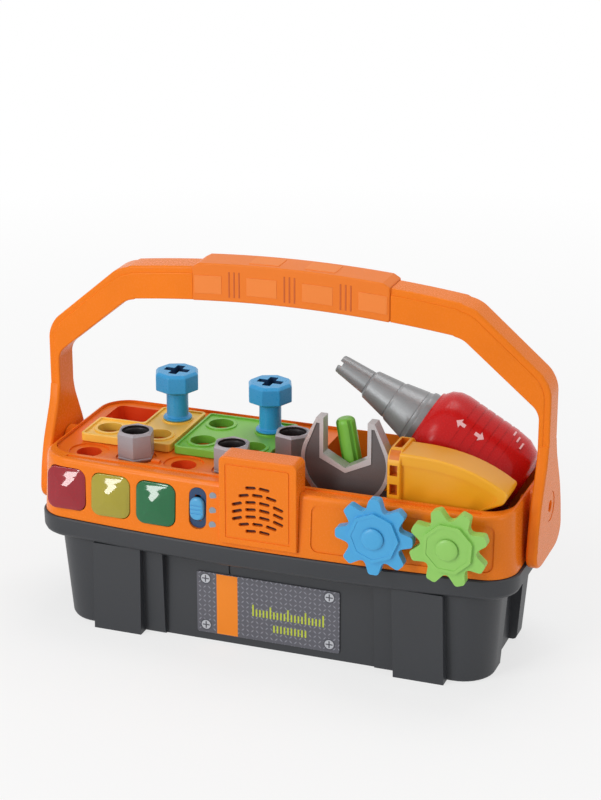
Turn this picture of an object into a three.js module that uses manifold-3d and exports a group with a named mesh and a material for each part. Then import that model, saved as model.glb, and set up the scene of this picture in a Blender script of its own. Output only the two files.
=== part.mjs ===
// Toy tool box with a swinging carry handle, a project deck, gears, lights and four loose tools.
// Millimetres, +Z up, +X along the box, the front faces -Y. The origin is on the underside, in the middle.
import * as THREE from 'three';
import { mergeVertices } from 'three/addons/utils/BufferGeometryUtils.js';
import Module from 'manifold-3d';

const wasm = await Module();
wasm.setup();

// General
const gap = 0.3;              // between pieces that touch or turn in each other
const overrun = 5;            // how far a cutter runs past what it cuts
const handleDepth = 21;       // front to back of the handle's strap
const armThick = 7.3;
const halfTurn = 180;         // degrees
const armClear = 2.2;         // between an arm and the foot of the tray

// Tray shell, the orange top half
const trayFoot = 75.8;        // height where it sits on the tub's flange
const trayTop = 117;
const trayFront = 64.7;       // from the middle of the box to the bowed front, at the foot
const trayBack = 59;
const trayBow = 7;            // how far the front bows forward
const trayCorner = 21;
const trayLeanX = 2.5;        // how much the walls lean in over their height
const trayLeanY = 3.2;
const trayBowLoss = 3;        // the bow is flatter at the top edge
const trayWall = 2.5;
const trayRimDrop = 3.4;      // height of the rounded top edge
const trayRimInset = 2.2;
const housingBack = 47;       // back face of the hollow front housing
const housingWall = 2;
const housingRoof = 2.4;
const openingInset = 5;       // from the tray's end to the opening's end
const hammerClear = 1.5;      // from the hammer's tip to the opening's end
const openingCorner = 18;

// Tub, the dark lower half
const panelToPillar = 14.7;    // from the long sunk panel's end to the pillar
const tubTop = 61.5;          // underside of the flange
const tubInsetX = 10;         // from the tray's end to the tub's end, at the top
const tubDepthHalf = 55;
const tubDraftX = 4.5;
const tubDraftY = 3;
const tubCorner = 22;
const tubWall = 2.6;
const tubFloor = 3;
const tubCavityCorner = 16;
const flangeLip = 1.6;
const panelDepthHalf = 49;    // from the middle of the box to the sunk panel
const endPanelHalf = 20;
const endPanelInset = 9.5;    // from the tub's top end to the sunk end panel
const pillarEnd = 63.8;       // from a pillar's nearer edge to the tub's end
const pillarWide = 33.3;
const pillarStand = 6.6;      // how far a pillar stands out at the foot
const pillarLean = 1.4;
const notchStep = 1;          // to the left of the speaker cover's edge
const notchWide = 1.4;
const notchDeep = 1;
const notchTall = 12;
const dividerWall = 2.5;
const dividerClear = 0.5;     // from the loose nut to the divider

// Project deck and its holes
const deckTop = 115;
const deckThick = 2.7;
const deckHole = 8.3;         // radius
const rowY = -34;             // front row of holes
const rowMargin = 29;         // from the tray's end to the first hole
const rowPitch = 33.5;
const seatRadius = 13.2;
const seatDeep = 1;
const ledge = 3;
const ledgeTall = 2;
const pocketMargin = 11.5;
const pocketWide = 36;
const pocketFrontY = 13;
const pocketLong = 38;
const pocketDeep = 11;
const pocketWall = 1.6;
const tabMargin = 78.5;
const tabWide = 6;
const tabDeep = 3.4;
const tabTall = 1.8;
const tabY = -40;

// Project plates
const plateSide = 64;
const plateThick = 5.7;
const plateCorner = 3;
const plateHole = 8.4;
const plateRing = 10.6;       // outer radius of the raised ring round a hole
const plateRingTall = 0.9;
const plateSkin = 4.6;        // thickness inside the rim
const plateRim = 1.8;
const platePitch = 35;        // between holes along the box
const plateRowPitch = 32;     // between rows of holes
const plateMargin = 16.5;     // from the tray's end to the yellow plate
const plateSpace = 2.5;       // between the plates
const plateY = 11;

// Toy screws
const screwShank = 7.3;
const screwBelow = 22;        // length of shank below the plate's face
const screwNeckTall = 18;
const screwFlange = 9.6;
const screwFlangeTall = 1.6;
const screwTaper = 3.5;
const screwHead = 14;         // radius over the corners
const screwHeadTall = 12.5;
const screwBevel = 1.8;
const crossLong = 14;
const crossWide = 4.2;
const crossDeep = 5;
const screwThreadDeep = 0.7;
const screwThreadPitch = 5;

// Toy nuts
const nutRadius = 12.5;       // over the corners
const nutTall = 20;
const nutBore = 7.9;
const nutBevel = 1.6;
const nutTurn = 15;           // degrees
const looseNutClear = 0.4;    // from the green plate to the loose nut
const looseNutY = -4;

// Light buttons
const buttonMargin = 23.5;    // from the tray's end to the first button's middle
const buttonPitch = 32.2;
const buttonZ = 96.8;
const buttonWide = 27;
const buttonTall = 28.2;
const buttonCorner = 6;
const buttonClear = 0.5;
const buttonProud = 1.2;      // straight edge in front of the tray
const buttonDome = 3;
const buttonWall = 2;
const buttonBack = 4.9;       // how far the skirt reaches behind the tray's face
const buttonTab = 1.5;        // tabs above and below keep the button in its window
const buttonTabThick = 0.8;

// Slide switch
const knobStep = 29.2;        // from the last button to the switch
const knobZ = 98.1;
const knobWide = 9.6;
const knobTall = 15.4;
const knobProud = 2.6;
const knobStem = 3.4;
const slotWide = 12;
const slotTall = 28;
const slotDeep = 1.5;
const stemSlot = 18;

// Lamps and boards inside
const boardThick = 1.6;
const boardTall = 26;
const ledRadius = 2.5;
const ledLong = 4.4;
const switchTall = 20;
const switchDeep = 3;
const mainBoardLong = 62;
const mainBoardWide = 70;
const mainBoardZ = 40;
const postRadius = 3;

// Speaker and its cover
const coverStep = 42.4;       // from the switch to the cover's middle
const coverWide = 52;
const coverTop = 138;
const coverFoot = 79;
const coverFront = 66.9;
const coverDeep = 16;
const coverCorner = 4;
const coverWall = 2.2;
const grilleZ = 104.6;
const grilleRadius = 17;
const grilleRows = 6;
const grilleSlot = 1.8;
const grilleBridge = 3;
const speakerRadius = 19;
const speakerRim = 3;
const speakerMagnet = 11;
const speakerDeep = 9;

// Label plate
const labelLong = 98;
const labelTall = 43;
const labelFoot = 5.5;
const labelThick = 0.8;

// Gears
const gearTeeth = 8;
const gearMargin = 82.3;      // from the tray's end to the first gear's middle
const gearSpacing = 47.4;
const gearZ = 101.5;
const gearBackY = 68.5;
const gearThick = 7.5;
const gearTip = 25;
const gearRoot = 17.6;
const gearToothTip = 3.1;     // half width of a tooth at its tip
const gearToothRoot = 5.3;    // half width of a tooth at its root
const gearFace = 15.5;
const gearFaceTall = 1;
const gearBore = 4.3;
const axleRadius = 4;
const axleHead = 7;
const axleHeadTall = 1.8;
const axleBoss = 9;
const greenPhase = 19.5;      // degrees

// Carry handle
const bendLow = 190;          // outer height of the lower bends
const bendHigh = 235;         // outer height of the upper bends
const bendInset = 52.5;       // from the arm's outside in to the upper bend
const archRise = 8;           // how far the bar arches above its bends
const webLow = 171.3;         // inner height of the lower bends
const webHigh = 213.9;
const webInset = 5.9;         // from the strap's bend in to the web's
const webRise = 7.1;
const bendRound = 9;
const webStep = 0.9;          // the web is thinner than the strap by this on each face
const pivotZ = 106;
const paddleHalf = 31;
const paddleDrop = 34.6;      // from the pivot down to the paddle's foot
const paddleShoulder = 44;    // from the pivot up to where the paddle narrows to the arm
const paddleCorner = 16;
const gripHalf = 66;
const gripRaise = 3;
const gripProud = 1.1;
const gripWall = 1.7;
const gripBevel = 8;
const pinRadius = 5;
const pinHead = 9.5;
const pinHeadTall = 2.4;
const pinSink = 14.5;         // radius of the sunk ring round the pin's head
const pinSinkDeep = 1.2;
const pinInside = 9;          // how far the pin reaches into the tray
const pinBoss = 10.6;

// Battery compartment in the tub
const cellRadius = 7.1;
const cellLong = 50.5;
const cellPitch = 15.2;
const cellCount = 3;
const batteryMargin = 75.5;
const batteryWall = 2;
const contactThick = 0.8;
const doorThick = 1.6;
const doorSink = 0.2;
const doorLap = 4;            // how far the door laps onto the floor all round
const doorTab = 8;
const doorScrew = 1.6;
const doorScrewHead = 3;
const doorScrewLong = 6;

// Screws that hold the tray to the tub
const caseScrewOut = 15;      // from the centre of the corner's arc
const caseScrew = 1.6;
const caseScrewHead = 2.9;
const caseScrewHeadTall = 2.2;
const caseScrewLong = 24;
const caseBoss = 4.6;

// Wrench
const wrenchClear = 3.9;      // from the divider to the head
const wrenchZ = 131;
const wrenchHead = 29.5;
const wrenchTipRise = 28.5;
const wrenchJaw = 14.6;       // half of the jaw's opening
const wrenchEar = 140;        // degrees round the head where the jaw's left ear ends
const jawShoulderShare = 0.55;
const wrenchThroat = 3.4;     // from the head's centre down to the throat's point
const wrenchY = -30.5;
const wrenchThick = 9;
const wrenchShaft = 18;
const wrenchShaftThick = 6;

// Screwdriver
const driverStep = 6.1;       // to the left of the wrench's middle
const driverY = -18.3;
const driverTop = 155;
const driverLean = 10.5;      // degrees
const bladeRadius = 6.2;
const bladeLong = 62;
const bladeTip = 4;
const bladeFlute = 3;
const driverGrip = 7.4;
const driverBevel = 2;
const driverNeck = 1.4;       // how much the grip narrows below the blade
const driverNeckLong = 6;
const driverTang = 4;
const driverTangLong = 14;

// Hammer
const hammerBack = -20;
const hammerThick = 24;
const hammerBite = 1.4;       // how far the head sits in the face block
const hammerBody = 40;
const hammerWedge = 30;
const hammerTop = 146;
const hammerTipTop = 132;
const hammerTipFoot = 121;
const hammerFoot = 108;
const hammerNose = 4;         // bevel at the tip
const hammerCrest = 16;       // length of the flat top before the bend
const hammerCrestDrop = 1;
const hammerShoulder = 14;    // length of the top behind the bend
const hammerShoulderDrop = 6;
const faceClear = 1.5;        // from the wrench's head to the face block
const faceThick = 8.6;
const faceFrontY = -46;
const faceDeep = 34.4;
const faceTop = 147.5;
const faceFoot = 100;
const faceCorner = 9;
const windowCount = 3;
const windowWide = 5;
const windowTall = 7;
const windowPitch = 12.5;
const windowDeep = 5;
const hammerGripStep = 11;    // from the head's bend in to the grip's middle
const hammerGripWide = 17;
const hammerGripThick = 14;
const hammerGripCorner = 4;
const hammerSocket = 18;

// Toy drill, in its own frame: x from the tip to the back, z up through the grip
const drillStep = 11.7;       // from the divider to the bit's tip
const drillTipY = 17;
const drillTipZ = 177.6;
const drillDip = 29.7;        // degrees that the barrel dips to the right
const drillRoll = -24;        // degrees that the grip leans to the front
const barrelStart = 65.8;
const barrelLong = 74.6;
const barrelRadius = 30;
const barrelWall = 2.3;
const gripX = 98;
const gripLong = 28;
const gripHalfThick = 11;
const gripFoot = 83;          // from the barrel's axis down to the butt
const gripCorner = 7;
const buttThick = 2.4;
const bitTip = 5;
const bitNeckLong = 21;
const bitNeck = 6.4;
const bitStep = 8.7;
const bitStepLong = 1.5;
const bitFlare = 0.8;
const bitRadius = 19.6;
const bitRim = 5;             // length of the rounded rim before the barrel
const bitRimBevel = 1.6;
const bitCross = 3;
const bitCrossDeep = 2.5;
const spindle = 5;
const spindleLong = 9;
const gearboxRadius = 15;
const gearboxLong = 13;
const ribThick = 2;
const motorRadius = 12;
const motorLong = 26;
const smallCellRadius = 5.2;
const smallCellLong = 44.5;
const triggerTall = 14;
const triggerWide = 9;
const triggerOut = 6;
const triggerStem = 8;         // how far the stem reaches into the grip
const triggerStemTall = 5;
const triggerTop = -31;
const selectorX = 90;
const selectorLong = 18;
const selectorTall = 7;
const selectorZ = -15;
const selectorOut = 1.4;
const selectorTravel = 3;

// Along the box: the plates and a loose nut fill the deck, the wrench and the hammer fill the bin
const deckHeld = plateMargin + 2 * plateSide + plateSpace + looseNutClear + 2 * nutRadius + dividerClear;
const hammerHeld = faceThick - hammerBite + hammerBody + hammerWedge + hammerClear;
const binHeld = wrenchClear + 2 * wrenchHead + faceClear + hammerHeld + openingInset;
const trayHalf = (deckHeld + binHeld) / 2;
const handleSpan = 2 * (trayHalf + armClear + armThick);
const yellowX = -trayHalf + plateMargin + plateSide / 2;
const greenX = yellowX + plateSide + plateSpace;
const looseNutX = greenX + plateSide / 2 + looseNutClear + nutRadius;
const dividerX = looseNutX + nutRadius + dividerClear;
const wrenchX = dividerX + wrenchClear + wrenchHead;
const driverX = wrenchX - driverStep;
const faceLeft = wrenchX + wrenchHead + faceClear;
const hammerLeft = faceLeft + faceThick - hammerBite;
const hammerBend = hammerLeft + hammerBody;
const hammerTipX = hammerBend + hammerWedge;
const hammerGripX = hammerBend - hammerGripStep;
const drillTipX = dividerX + drillStep;
const rowX = -trayHalf + rowMargin;
const pocketLeft = -trayHalf + pocketMargin;
const tabX = -trayHalf + tabMargin;
const buttonX = -trayHalf + buttonMargin;
const buttonCount = 3;
const knobX = buttonX + (buttonCount - 1) * buttonPitch + knobStep;
const coverX = knobX + coverStep;
const notchX = coverX - coverWide / 2 - notchStep;
const gearX = trayHalf - gearMargin;
const batteryX = -trayHalf + batteryMargin;
const bendX = handleSpan / 2 - bendInset;
const webX = bendX - webInset;

// Worked out from the sizes above
const trayHeight = trayTop - trayFoot;
const flangeTop = trayFoot - gap;
const tubHalf = trayHalf - tubInsetX;
const pillarNear = tubHalf - pillarEnd;
const panelHalf = pillarNear - panelToPillar;
const armInner = handleSpan / 2 - armThick;
const binFloor = tubFloor + gap;        // the tools stand here

// Colours and finishes
const plastic = (color, roughness = 0.4) => new THREE.MeshStandardMaterial({
  color, roughness, metalness: 0 });
const metal = (color) => new THREE.MeshStandardMaterial({ color, roughness: 0.35, metalness: 0.9 });
const orange = plastic(0xf5781e);
const labelGrey = plastic(0x787882);
const charcoal = plastic(0x3c3c40, 0.5);
const red = plastic(0xcd2823);
const skyBlue = plastic(0x3291c8);
const gearBlue = plastic(0x46a5e1);
const gearGreen = plastic(0x96cd64);
const plateYellow = plastic(0xebb432);
const plateGreen = plastic(0x78b43c);
const toolYellow = plastic(0xebaa19);
const nutGrey = plastic(0xa5a0a5);
const wrenchGrey = plastic(0x5a5555);
const bitGrey = plastic(0x8c8c90);
const lensRed = plastic(0x961423, 0.15);
const lensYellow = plastic(0xafa55a, 0.15);
const lensGreen = plastic(0x197d55, 0.15);
const boardGreen = plastic(0x1e5a32);
const steel = metal(0xb4b4b8);
const lampWhite = plastic(0xe6e6dc, 0.2);

// Solids

// A closed three.js geometry as a solid that can be joined and cut
function solid(geometry) {
  geometry.deleteAttribute('normal');
  geometry.deleteAttribute('uv');
  const merged = mergeVertices(geometry, 1e-4);
  const index = merged.index.array;
  const triangles = [];
  for (let i = 0; i < index.length; i += 3) {
    const [a, b, c] = [index[i], index[i + 1], index[i + 2]];
    if (a !== b && b !== c && c !== a) triangles.push(a, b, c);
  }
  return new wasm.Manifold(new wasm.Mesh({
    numProp: 3,
    vertProperties: new Float32Array(merged.attributes.position.array),
    triVerts: new Uint32Array(triangles),
  }));
}

// A solid as a named mesh
function piece(name, body, material) {
  const { vertProperties, triVerts } = body.getMesh();
  const geometry = new THREE.BufferGeometry();
  geometry.setAttribute('position', new THREE.BufferAttribute(vertProperties, 3));
  geometry.setIndex(new THREE.BufferAttribute(triVerts, 1));
  const flat = geometry.toNonIndexed();
  flat.computeVertexNormals();
  const mesh = new THREE.Mesh(flat, material);
  mesh.name = name;
  return mesh;
}

const join = (...bodies) => bodies.reduce((all, body) => all.add(body));
const cut = (body, ...cutters) => cutters.reduce((left, cutter) => left.subtract(cutter), body);

// An outline in plan, pulled up from one height to another
function prism(shape, z0, z1) {
  const geometry = new THREE.ExtrudeGeometry(shape, {
    depth: z1 - z0, bevelEnabled: false, curveSegments: 6 });
  return solid(geometry.translate(0, 0, z0));
}

// An outline seen from the front, x and z, pulled from y0 back to y1
function frontPrism(shape, y0, y1) {
  const geometry = new THREE.ExtrudeGeometry(shape, {
    depth: y1 - y0, bevelEnabled: false, curveSegments: 6 });
  return solid(geometry.rotateX(Math.PI / 2).translate(0, y1, 0));
}

// An outline seen from the end, y and z, pulled from x0 to x1
function sidePrism(shape, x0, x1) {
  const geometry = new THREE.ExtrudeGeometry(shape, {
    depth: x1 - x0, bevelEnabled: false, curveSegments: 6 });
  return solid(geometry.rotateX(Math.PI / 2).rotateZ(Math.PI / 2).translate(x0, 0, 0));
}

function block(x0, x1, y0, y1, z0, z1) {
  const geometry = new THREE.BoxGeometry(x1 - x0, y1 - y0, z1 - z0);
  return solid(geometry.translate((x0 + x1) / 2, (y0 + y1) / 2, (z0 + z1) / 2));
}

function polygon(points) {
  return new THREE.Shape(points.map(([x, y]) => new THREE.Vector2(x, y)));
}

// A ring of points on a circle, from one angle to another, both in degrees
function arc(cx, cy, radius, from, to, steps) {
  return Array.from({ length: steps + 1 }, (_, i) => {
    const angle = THREE.MathUtils.degToRad(from + (to - from) * i / steps);
    return [cx + radius * Math.cos(angle), cy + radius * Math.sin(angle)];
  });
}

function disc(cx, cy, radius, sides = 20) {
  return polygon(arc(cx, cy, radius, 0, 360, sides).slice(0, sides));
}

// A rectangle with round corners, about its middle
function roundedRect(cx, cy, wide, tall, radius, steps = 3) {
  const [x, y] = [wide / 2 - radius, tall / 2 - radius];
  return polygon([
    ...arc(cx + x, cy + y, radius, 0, 90, steps),
    ...arc(cx - x, cy + y, radius, 90, 180, steps),
    ...arc(cx - x, cy - y, radius, 180, 270, steps),
    ...arc(cx + x, cy - y, radius, 270, 360, steps),
  ]);
}

// A solid through a stack of rings, each with the same number of points, from the bottom up
function loft(rings) {
  const count = rings[0].points.length;
  const positions = rings.flatMap(({ points, z }) => points.flatMap(([x, y]) => [x, y, z]));
  const index = [];
  for (let r = 0; r + 1 < rings.length; r += 1) {
    for (let i = 0; i < count; i += 1) {
      const [a, b] = [r * count + i, r * count + (i + 1) % count];
      index.push(a, b, b + count, a, b + count, a + count);
    }
  }
  const top = (rings.length - 1) * count;
  for (const face of capFaces(rings[0].points)) index.push(face[2], face[1], face[0]);
  for (const face of capFaces(rings.at(-1).points)) index.push(top + face[0], top + face[1], top + face[2]);
  const geometry = new THREE.BufferGeometry();
  geometry.setAttribute('position', new THREE.Float32BufferAttribute(positions, 3));
  geometry.setIndex(index);
  return solid(geometry);
}

function capFaces(points) {
  return THREE.ShapeUtils.triangulateShape(points.map(([x, y]) => new THREE.Vector2(x, y)), []);
}

// A turned solid about the Z axis. The profile runs from the axis to the axis, radius then height.
function turned(profile, sides = 20) {
  const geometry = new THREE.LatheGeometry(profile.map(([r, z]) => new THREE.Vector2(r, z)), sides);
  return solid(geometry.rotateX(Math.PI / 2));
}

// The same solid laid along -Y, so that its height points to the front
const faceFront = (body) => body.rotate([90, 0, 0]);

// The box's own outline: straight back and ends, round corners and a bowed front
function boxRing(half, front, back, bow, radius, frontSteps = 8, cornerSteps = 4) {
  const side = half - radius;
  const frontY = (x) => -(front - bow * (x / side) ** 2);
  const low = frontY(side) + radius;
  const high = back - radius;
  const bowed = Array.from({ length: frontSteps - 1 }, (_, i) => {
    const x = -side + 2 * side * (i + 1) / frontSteps;
    return [x, frontY(x)];
  });
  return [
    ...arc(side, high, radius, 0, 90, cornerSteps),
    ...arc(-side, high, radius, 90, 180, cornerSteps),
    ...arc(-side, low, radius, 180, 270, cornerSteps),
    ...bowed,
    ...arc(side, low, radius, 270, 360, cornerSteps),
  ];
}

// The tray's outer face at a height, drawn in by an inset
function trayRing(z, inset = 0) {
  const share = (z - trayFoot) / trayHeight;
  const half = trayHalf - trayLeanX * share - inset;
  const front = trayFront - trayLeanY * share - inset;
  const bow = trayBow - trayBowLoss * share;
  return boxRing(half, front, trayBack - inset, bow, trayCorner - inset);
}

// How far forward the tray's face stands at a place
function trayFaceY(x, z) {
  const share = (z - trayFoot) / trayHeight;
  const side = trayHalf - trayLeanX * share - trayCorner;
  const bow = trayBow - trayBowLoss * share;
  return -(trayFront - trayLeanY * share - bow * Math.min(1, Math.abs(x) / side) ** 2);
}

const openingRing = (inset = 0) => boxRing(
  trayHalf - trayLeanX - trayWall - inset, housingBack - inset, trayBack - trayWall - inset, 0,
  openingCorner - inset);

// Places of the four case screws, on the corners' diagonals
const cornerCentreX = trayHalf - trayCorner;
const cornerFrontY = -(trayFront - trayBow - trayCorner);
const cornerBackY = trayBack - trayCorner;
const diagonal = caseScrewOut * Math.SQRT1_2;
const caseScrewPlaces = [
  ['front_left', -cornerCentreX - diagonal, cornerFrontY - diagonal],
  ['front_right', cornerCentreX + diagonal, cornerFrontY - diagonal],
  ['back_left', -cornerCentreX - diagonal, cornerBackY + diagonal],
  ['back_right', cornerCentreX + diagonal, cornerBackY + diagonal],
];

const buttonPlaces = Array.from({ length: buttonCount }, (_, i) => buttonX + i * buttonPitch);
const boardY = -(housingBack + housingWall + gap);

// Tub

function tub() {
  const endPanel = tubHalf - endPanelInset;
  const ring = (z, inset) => {
    const share = 1 - z / tubTop;
    const half = tubHalf - tubDraftX * share - inset;
    const depth = tubDepthHalf - tubDraftY * share - inset;
    return boxRing(half, depth, depth, 0, tubCorner - inset, 2);
  };
  let body = loft([{ points: ring(0, 0), z: 0 }, { points: ring(tubTop, 0), z: tubTop }]);
  for (const side of [-1, 1]) {
    const panel = block(-panelHalf, panelHalf, panelDepthHalf, tubDepthHalf + overrun, -overrun, tubTop);
    const end = block(endPanel, tubHalf + overrun, -endPanelHalf, endPanelHalf, -overrun, tubTop);
    body = cut(body, side > 0 ? panel : panel.mirror([0, 1, 0]), side > 0 ? end : end.mirror([1, 0, 0]));
  }
  for (const sideX of [-1, 1]) for (const sideY of [-1, 1]) body = body.add(pillar(sideX, sideY));
  body = body.add(flange());
  const cavityHalf = endPanel - tubWall;
  const cavityDepth = panelDepthHalf - tubWall;
  const cavity = boxRing(cavityHalf, cavityDepth, cavityDepth, 0, tubCavityCorner, 2);
  body = cut(body, prism(polygon(cavity), tubFloor, trayFoot + overrun));
  const rib = block(dividerX - dividerWall, dividerX, -cavityDepth - gap, cavityDepth + gap, tubFloor - gap,
    flangeTop);
  body = join(body, rib, ...boardPosts());
  body = cut(body, ...batteryCutters(), ...caseScrewPlaces.map(([, x, y]) => caseScrewCutter(x, y)));
  const notchTop = tubTop - gap;
  body = cut(body, block(notchX, notchX + notchWide, -panelDepthHalf - overrun, -panelDepthHalf + notchDeep,
    notchTop - notchTall, notchTop));
  return piece('base_tub', body, charcoal);
}

function pillar(sideX, sideY) {
  const front = tubDepthHalf - tubDraftY + pillarStand;
  const ring = (y, shift) => {
    const [near, far] = [pillarNear - shift, pillarNear + pillarWide - shift];
    const points = [[near, 0], [far, 0], [far, y], [near, y]];
    return sideX * sideY > 0 ? points.map(([x, d]) => [sideX * x, sideY * d])
      : points.map(([x, d]) => [sideX * x, sideY * d]).reverse();
  };
  const top = tubTop + gap;
  return loft([{ points: ring(front, 0), z: 0 }, { points: ring(front + pillarLean, pillarLean), z: top }]);
}

function flange() {
  const ring = boxRing(trayHalf + flangeLip, trayFront + flangeLip, trayBack + flangeLip, trayBow,
    trayCorner + flangeLip);
  return prism(polygon(ring), tubTop, flangeTop);
}

// Posts that carry the main board, standing on the floor between the divider and the batteries
const mainBoardX = dividerX - dividerWall - mainBoardLong / 2 - postRadius;
const postPlaces = [-1, 1].flatMap((i) => [-1, 1].map((j) => [
  mainBoardX + i * (mainBoardLong / 2 - 2 * postRadius), j * (mainBoardWide / 2 - 2 * postRadius)]));

function boardPosts() {
  return postPlaces.map(([x, y]) => prism(disc(x, y, postRadius, 12), tubFloor - gap, mainBoardZ - gap));
}

// Battery compartment: an opening in the floor, a rebate for the door and a hole for its screw
const batteryLong = cellLong + 2 * (contactThick + 2 * gap);
const batteryWide = cellCount * cellPitch + 2 * gap;
const doorLong = batteryLong + 2 * doorLap;
const doorWide = batteryWide + 2 * doorLap;
const doorScrewY = doorWide / 2 + doorTab / 2;

function batteryCutters() {
  const rebateTop = doorSink + doorThick + gap;
  return [
    block(batteryX - batteryLong / 2, batteryX + batteryLong / 2,
      -batteryWide / 2, batteryWide / 2, -overrun,
      tubFloor + overrun),
    block(batteryX - doorLong / 2 - gap, batteryX + doorLong / 2 + gap,
      -doorWide / 2 - gap, doorWide / 2 + gap,
      -overrun, rebateTop),
    prism(roundedRect(batteryX, doorScrewY, 2 * (doorTab + gap), doorTab + 2 * gap, doorTab / 3, 2),
      -overrun,
      rebateTop),
    prism(disc(batteryX, doorScrewY, doorScrew + gap, 12), -overrun, tubFloor + overrun),
  ];
}

function batteryDoor() {
  const body = join(
    block(batteryX - doorLong / 2, batteryX + doorLong / 2, -doorWide / 2, doorWide / 2, doorSink,
      doorSink + doorThick),
    prism(roundedRect(batteryX, doorScrewY, 2 * doorTab, doorTab, doorTab / 3, 2),
      doorSink, doorSink + doorThick),
  );
  const fingerSlot = prism(
    roundedRect(batteryX, -doorWide / 2 + doorLap, 4 * doorLap, doorLap, doorLap / 3, 2),
    -overrun, doorSink + doorThick / 2);
  return piece('battery_door', cut(body, fingerSlot,
    prism(disc(batteryX, doorScrewY, doorScrew + gap, 12), -overrun, tubFloor),
    prism(disc(batteryX, doorScrewY, doorScrewHead + gap, 12), -overrun, doorSink + doorThick / 2)),
  charcoal);
}

function batteryDoorScrew() {
  const headTop = doorSink + doorThick / 2 - gap;
  const body = join(prism(disc(batteryX, doorScrewY, doorScrewHead, 12), doorSink / 2, headTop),
    prism(disc(batteryX, doorScrewY, doorScrew, 12), headTop, headTop + doorScrewLong));
  return piece('battery_door_screw', body, steel);
}

const cellZ = tubFloor + gap + cellRadius + gap;

function batteryBox() {
  const [long, wide] = [batteryLong + 2 * batteryWall, batteryWide + 2 * batteryWall];
  const top = cellZ + cellRadius + gap;
  const body = cut(
    block(batteryX - long / 2, batteryX + long / 2, -wide / 2, wide / 2, tubFloor + gap, top + batteryWall),
    block(batteryX - batteryLong / 2, batteryX + batteryLong / 2,
      -batteryWide / 2, batteryWide / 2, 0, top));
  return piece('battery_box', body, charcoal);
}

function batteryCells() {
  return Array.from({ length: cellCount }, (_, i) => {
    const y = (i - (cellCount - 1) / 2) * cellPitch;
    const start = batteryX - cellLong / 2;
    const body = join(
      sidePrism(disc(y, cellZ, cellRadius, 16), start, start + cellLong - contactThick),
      sidePrism(disc(y, cellZ, cellRadius / 3, 12), start + cellLong - 2 * contactThick, start + cellLong));
    return piece(`battery_${i + 1}`, body, steel);
  });
}

function batteryContacts() {
  const wide = (cellCount - 1) * cellPitch + cellRadius;
  return [-1, 1].map((side) => {
    const inner = batteryX + side * (cellLong / 2 + gap);
    const outer = inner + side * contactThick;
    const [x0, x1] = [Math.min(inner, outer), Math.max(inner, outer)];
    const name = side < 0 ? 'battery_contact_left' : 'battery_contact_right';
    const [foot, head] = [cellZ - cellRadius / 2, cellZ + cellRadius / 2];
    return piece(name, block(x0, x1, -wide / 2, wide / 2, foot, head), steel);
  });
}

function mainBoard() {
  const body = block(mainBoardX - mainBoardLong / 2, mainBoardX + mainBoardLong / 2, -mainBoardWide / 2,
    mainBoardWide / 2, mainBoardZ, mainBoardZ + boardThick);
  return piece('main_board', body, boardGreen);
}

function caseScrewCutter(x, y) {
  const shoulder = tubTop + caseScrewHeadTall + gap;
  return join(prism(disc(x, y, caseScrewHead + gap, 12), tubTop - overrun, shoulder),
    prism(disc(x, y, caseScrew + gap, 12), shoulder - gap, tubTop + caseScrewLong + overrun));
}

function caseScrews() {
  return caseScrewPlaces.map(([place, x, y]) => {
    const body = join(prism(disc(x, y, caseScrewHead, 12), tubTop, tubTop + caseScrewHeadTall),
      prism(disc(x, y, caseScrew, 12), tubTop + caseScrewHeadTall, tubTop + caseScrewLong));
    return piece(`case_screw_${place}`, body, steel);
  });
}

function labelPlate() {
  const back = -(panelDepthHalf + gap);
  const shape = roundedRect(coverX, labelFoot + labelTall / 2, labelLong, labelTall, labelThick, 1);
  return piece('label_plate', frontPrism(shape, back - labelThick, back), labelGrey);
}

// Tray

function trayShell() {
  const rimFoot = trayTop - trayRimDrop;
  const shell = loft([
    { points: trayRing(trayFoot), z: trayFoot },
    { points: trayRing(rimFoot), z: rimFoot },
    { points: trayRing(trayTop, trayRimInset / 4), z: trayTop - trayRimDrop / 3 },
    { points: trayRing(trayTop, trayRimInset), z: trayTop },
  ]);
  const opening = prism(polygon(openingRing()), trayFoot - overrun, trayTop + overrun);
  const roof = trayTop - housingRoof;
  const hollow = loft([
    { points: trayRing(trayFoot - overrun, trayWall), z: trayFoot - overrun },
    { points: trayRing(roof, trayWall), z: roof },
  ]).intersect(block(-trayHalf, trayHalf, -trayFront, -(housingBack + housingWall), 0, trayTop));
  let body = cut(shell, opening, hollow);
  body = join(body, deckLedge(), ...gearBosses(), ...pivotBosses(), ...caseBosses());
  body = cut(body, ...buttonPlaces.map(buttonWindow), ...knobSlot(), coverNotch(), ...axleHoles(),
    ...pivotHoles(),
    ...caseScrewPlaces.map(([, x, y]) => caseScrewCutter(x, y)));
  return piece('tray_shell', body, orange);
}

const deckFoot = deckTop - deckThick;

function deckLedge() {
  const outer = prism(polygon(openingRing(-gap)), deckFoot - gap - ledgeTall, deckFoot - gap);
  const inner = prism(polygon(openingRing(ledge)), trayFoot, trayTop);
  return cut(outer, inner)
    .intersect(block(-trayHalf, dividerX - dividerWall - gap, -trayFront, trayBack, 0, trayTop));
}

function gearBosses() {
  return [0, 1].map((i) => {
    const x = gearX + i * gearSpacing;
    return frontPrism(disc(x, gearZ, axleBoss, 20), -(gearBackY - gap), trayFaceY(x, gearZ) + trayWall);
  });
}

function axleHoles() {
  return [0, 1].map((i) => frontPrism(disc(gearX + i * gearSpacing, gearZ, axleRadius + gap, 16),
    -(gearBackY + overrun), -(housingBack + housingWall)));
}

const pinReach = trayHalf - pinInside;

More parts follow.
